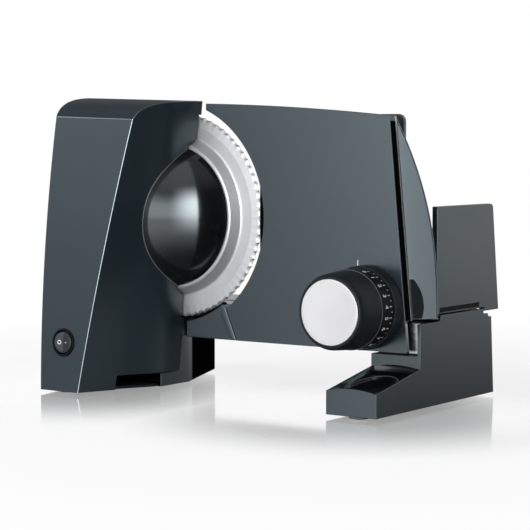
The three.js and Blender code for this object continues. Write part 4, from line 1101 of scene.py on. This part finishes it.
screwSpots = [(x, screwForm["rear"], z) for x, z in screwForm["spots"]]
screws = setOn("panelScrews", platedSteel, screwHead, screwSpots)
fit(shade(screws, 40), "base", platedSteel,
    ["panel_screw_1", "panel_screw_2", "panel_screw_3", "panel_screw_4"])
lockForm = {
    "disc": [(0, -9.5), (39.2, -9.5), (39.8, -9.1), (40, -8.4), (40, -7), (39.6, -6.4), (38.8, -6.2),
             (36.6, -5.9), (35.6, -5.9), (34.8, -6.2), (33.8, -6.6), (10, -6.4), (0, -6.3)],
    "bar": [(-33.4, -2.6), (-30, -4), (30, -4), (33.4, -2.6), (33.4, 2.6), (30, 4), (-30, 4), (-33.4, 2.6)],
    "barY": (-7.0, -0.6), "ribs": 72, "ribRadius": 40.0, "ribSize": (1.2, 2.2, 0.5), "ribY": -7.8}
lockDisc = turned("bladeLockDisc", lockForm["disc"], 0, bladeAxisZ, roundSides)
barLine = [(x, bladeAxisZ + z) for x, z in lockForm["bar"]]
lockBar = soften(slab("lockBar", barLine, *lockForm["barY"], "Y"), 1.2, 4)
combine(lockDisc, lockBar, "UNION")
fit(shade(lockDisc, 34), "blade_lock", mattBlack, ["blade_lock"])
lockRibs = ringOf("lockRibs", mattBlack, lockForm["ribs"], lockForm["ribRadius"], 0, 360 / lockForm["ribs"],
                  lockForm["ribSize"], (0, lockForm["ribY"], bladeAxisZ))
fit(lockRibs, "blade_lock", mattBlack)
print("rear side done")

# carriage and food holder
tableTop = soften(nodeCopy("carriageTable", "carriage_table"), 0.7, 3, 40)
fit(shade(tableTop), "carriage", anthracite, ["carriage_table"])
sideWall = soften(nodeCopy("carriageWall", "carriage_wall"), 0.9, 3, 40)
fit(shade(sideWall), "carriage", anthracite, ["carriage_wall"])
# painted shade: a thin black sheet fills the gap under the carriage wall, where the slot lies in shade
slotCover = soften(block("slotCover", 234.3, 234.9, 26.1, 89.9, 70.7, 73.7), 0.15, 2)
fit(shade(slotCover), "carriage", trimBlack)
holderForm = {"face": 17.5, "spikeStart": (138, 92), "pitch": 22, "columns": 3, "rows": 4,
              "spike": [(0, -3.4), (0.25, -3.2), (1.6, 0), (1.6, 0.2), (0, 0.2)]}
holderPlate = nodeCopy("holderPlate", "food_holder")
combine(holderPlate, block("spikeCut", 100, 240, 5, holderForm["face"], 60, 240))
soften(holderPlate, 0.8, 3, 40)
fit(shade(holderPlate), "food_holder", anthracite, ["food_holder"])
spikeShape = turned("spikeShape", holderForm["spike"], 0, 0, 16, put=localSpot)
(spikeX, spikeZ), pitch = holderForm["spikeStart"], holderForm["pitch"]
spikeSpots = [(spikeX + pitch * i, holderForm["face"], spikeZ + pitch * j)
              for j in range(holderForm["rows"]) for i in range(holderForm["columns"])]
spikes = setOn("holderSpikes", anthracite, spikeShape, spikeSpots)
fit(shade(spikes, 40), "food_holder", anthracite)
gripForm = {
    "x": 160.0, "y": 50.0, "low": 108.0, "high": 184.0, "radius": 10.0, "waist": 1.6, "endPart": 0.14,
    "least": 0.02, "steps": 40, "posts": (118, 174),
    "post": [(0, 21.3), (8, 21.3), (7.6, 22.2), (6.6, 26), (6.4, 34), (6.8, 42), (7, 50), (0, 50)]}


def gripProfile():
    f = gripForm
    mid, half = (f["low"] + f["high"]) / 2, (f["high"] - f["low"]) / 2
    out = [(0, f["low"])]
    for i in range(f["steps"] + 1):
        t = 2 * i / f["steps"] - 1
        end = max(0.0, (abs(t) - (1 - f["endPart"])) / f["endPart"])
        radius = f["radius"] - f["waist"] * math.cos(t * math.pi / 2) ** 2
        out.append((radius * math.sqrt(max(f["least"], 1 - end * end)), mid + half * t))
    return out + [(0, f["high"])]


gripBar = turned("holderGrip", gripProfile(), 0, 0, 64,
                 put=lambda a, b, c: spot(gripForm["x"] + a, gripForm["y"] + c, b))
for z in gripForm["posts"]:
    combine(gripBar, turned("gripPost", gripForm["post"], gripForm["x"], z, 48), "UNION")
fit(shade(gripBar, 40), "food_holder", mattBlack, ["holder_grip"])
print("carriage and holder done")

# CAD nodes that stay: each gets its finish
slotFinish = {"housing": anthracite, "gloss_black": glossBlack, "black": mattBlack, "steel": platedSteel,
              "aluminium": satinFace, "brass": turnedBrass, "nylon": nylon, "rubber": rubber}
for part in frame["record"]["subparts"]:
    mesh = nodes[part["node"]].data
    mesh.materials.clear()
    mesh.materials.append(slotFinish[part["material_slot"]])

# studio: white floor and surround, soft light from the front left
studio = {
    "floorSide": 4.0, "floorColour": (0.9, 0.9, 0.905, 1), "floorRough": 0.5, "floorSpecular": 0.2,
    "floorGlow": 0.8, "middle": (75, 0), "clear": (0.25, 0.75), "mirror": 0.62, "mirrorRough": 0.09,
    "mirrorReach": (0.05, 0.21), "mirrorFade": (0.19, 0.27), "mirrorSteep": 0.1,
    "standing": [(-58, -62), (214, -44)], "soft": 0.34, "key": (-900, -1700, 1500), "keyPower": 46.0,
    "keySize": 1.2, "fill": (1500, -1300, 900), "fillPower": 6.0, "fillSize": 1.0, "aim": (60, 0, 110)}
boardForm = {"middle": (-500, 822), "wide": 1900, "low": -2.5, "high": 205}


def distanceFrom(tree, place, x, y):
    centre = spot(x, y, 0)
    sources = {0: place, 1: (centre.x, centre.y, 0)}
    return addNode(tree, "ShaderNodeVectorMath", sources, operation="DISTANCE").outputs["Value"]


def mixShader(tree, share, first, second):
    return addNode(tree, "ShaderNodeMixShader", {"Fac": share, 1: first, 2: second}).outputs["Shader"]


def stageSheet(name, corners):   # a flat sheet with a new material
    mesh = bpy.data.meshes.new(name)
    mesh.from_pydata(corners, [], [(0, 1, 2, 3)])
    material = bpy.data.materials.new(name)
    material.use_nodes = True
    mesh.materials.append(material)
    return newObject(name, mesh), material.node_tree


half = studio["floorSide"] / 2
floor, tree = stageSheet("floor", [(-half, -half, 0), (half, -half, 0), (half, half, 0), (-half, half, 0)])
paint = feed(tree, tree.nodes["Principled BSDF"], {
    "Base Color": studio["floorColour"], "Roughness": studio["floorRough"],
    "Specular IOR Level": studio["floorSpecular"]})
glow = addNode(tree, "ShaderNodeEmission")
mirror = addNode(tree, "ShaderNodeBsdfGlossy", {"Color": (1, 1, 1, 1), "Roughness": studio["mirrorRough"]})
place = addNode(tree, "ShaderNodeTexCoord").outputs["Object"]
away = distanceFrom(tree, place, *studio["middle"])
shown = smoothRamp(tree, away, *studio["clear"], studio["floorGlow"], 1.0)
seenShare = mathNode(tree, "MULTIPLY", addNode(tree, "ShaderNodeLightPath").outputs["Is Camera Ray"], shown)
lit = mixShader(tree, seenShare, paint.outputs["BSDF"], glow.outputs["Emission"])
nearest = mathNode(tree, "MINIMUM", *[distanceFrom(tree, place, x, y) for x, y in studio["standing"]])
incoming = addNode(tree, "ShaderNodeNewGeometry").outputs["Incoming"]
rise = addNode(tree, "ShaderNodeSeparateXYZ", {"Vector": incoming})   # less mirror when seen from higher up
fade = smoothRamp(tree, rise.outputs["Z"], *studio["mirrorFade"], 1.0, studio["mirrorSteep"])
reach = smoothRamp(tree, nearest, *studio["mirrorReach"], studio["mirror"], 0.0)
polished = mixShader(tree, mathNode(tree, "MULTIPLY", reach, fade), lit, mirror.outputs["BSDF"])
feed(tree, tree.nodes["Material Output"], {"Surface": polished})
floor.visible_glossy = False   # polished faces see the surround below the horizon too
turn = math.radians(cameraView["azimuth"])
(boardX, boardY), boardHalf = boardForm["middle"], boardForm["wide"] / 2
boardLeft, boardRight = [(boardX + s * math.cos(turn), boardY + s * math.sin(turn))
                         for s in (-boardHalf, boardHalf)]
boardCorners = [(boardLeft, "low"), (boardRight, "low"), (boardRight, "high"), (boardLeft, "high")]
board, tree = stageSheet("backBoard", [spot(*end, boardForm[level]) for end, level in boardCorners])
boardGlow = addNode(tree, "ShaderNodeEmission").outputs["Emission"]
feed(tree, tree.nodes["Material Output"], {"Surface": boardGlow})
board.visible_camera = board.visible_diffuse = board.visible_shadow = False   # only reflections show it

# What polished faces see, by bearing (0 is straight in front, right is positive), side, depth and height.
# A lobe is the product of its ramps: each goes from the third number to the fourth between the first two.
lightLobes = {
    "above": [("height", 0.5, 0.9, 0.03, 0.3)],
    "frontBand": [("bearing", -0.66, -0.46, 0.0, 2.9), ("bearing", 0.90, 0.94, 1.0, 0.0),
                  ("height", 0.20, 0.55, 1.0, 0.2), ("height", -0.12, 0.02, 0.55, 1.0),
                  ("height", -0.95, -0.15, 0.05, 1.0)],
    "keyBox": [("bearing", 0.10, 0.86, 0.0, 10.0), ("bearing", 0.905, 0.925, 1.0, 0.0),
               ("height", -0.55, 0.36, 0.0, 1.0), ("height", 0.36, 0.75, 1.0, 0.0)],
    "leftSide": [("side", -0.75, -0.2, 1.12, 0.0), ("height", 0.03, 0.22, 0.25, 1.0),
                 ("height", 0.34, 0.6, 1.0, 0.05), ("depth", 0.1, 0.5, 1.0, 0.06)],
    "leftBox": [("side", -0.8, -0.4, 2.3, 0.0), ("height", 0.26, 0.32, 0.0, 1.0),
                ("height", 0.42, 0.5, 1.0, 0.0), ("depth", -0.3, 0.0, 1.0, 0.0)],
    "backSide": [("side", -0.42, 0.05, 0.1, 1.0), ("depth", 0.30, 0.78, 0.0, 0.84),
                 ("height", -0.15, -0.06, 0.03, 1.0)],
    "rightFloor": [("bearing", 1.58, 1.70, 0.0, 0.55), ("bearing", 1.9, 2.3, 1.0, 0.0),
                   ("height", -0.11, -0.06, 1.0, 0.0)]}
world = bpy.data.worlds.new("studio")
scene.world = world
world.use_nodes = True
tree = world.node_tree
tree.nodes.clear()
toward = addNode(tree, "ShaderNodeTexCoord").outputs["Generated"]
parts = addNode(tree, "ShaderNodeSeparateXYZ", {"Vector": toward}).outputs
measures = {"side": parts["X"], "depth": parts["Y"], "height": parts["Z"],
            "bearing": mathNode(tree, "ARCTAN2", parts["X"], mathNode(tree, "MULTIPLY", parts["Y"], -1.0))}
total = 0.0
for ramps in lightLobes.values():
    lobe = 1.0
    for measure, *limits in ramps:
        lobe = mathNode(tree, "MULTIPLY", lobe, smoothRamp(tree, measures[measure], *limits))
    total = mathNode(tree, "ADD", total, lobe)
ray = addNode(tree, "ShaderNodeLightPath").outputs
mirrored = mathNode(tree, "MAXIMUM", ray["Is Glossy Ray"], ray["Is Transmission Ray"])
surround = addNode(tree, "ShaderNodeMix", {
    "Factor": mirrored, "A": studio["soft"], "B": total}, data_type="FLOAT")
seen = addNode(tree, "ShaderNodeMix", {
    "Factor": ray["Is Camera Ray"], "A": surround.outputs["Result"], "B": 1.0}, data_type="FLOAT")
sky = addNode(tree, "ShaderNodeBackground", {"Color": (1, 1, 1, 1), "Strength": seen.outputs["Result"]})
addNode(tree, "ShaderNodeOutputWorld", {"Surface": sky.outputs["Background"]})
for name in ("key", "fill"):
    lamp = newObject(name + "Lamp", bpy.data.lights.new(name + "Lamp", "AREA"))
    lamp.data.energy = studio[name + "Power"]
    lamp.data.size = studio[name + "Size"]
    lamp.location = spot(*studio[name])
    lamp.rotation_euler = (spot(*studio["aim"]) - lamp.location).to_track_quat("-Z", "Y").to_euler()
    lamp.visible_glossy = False   # the surround gives the reflections
print("studio done")
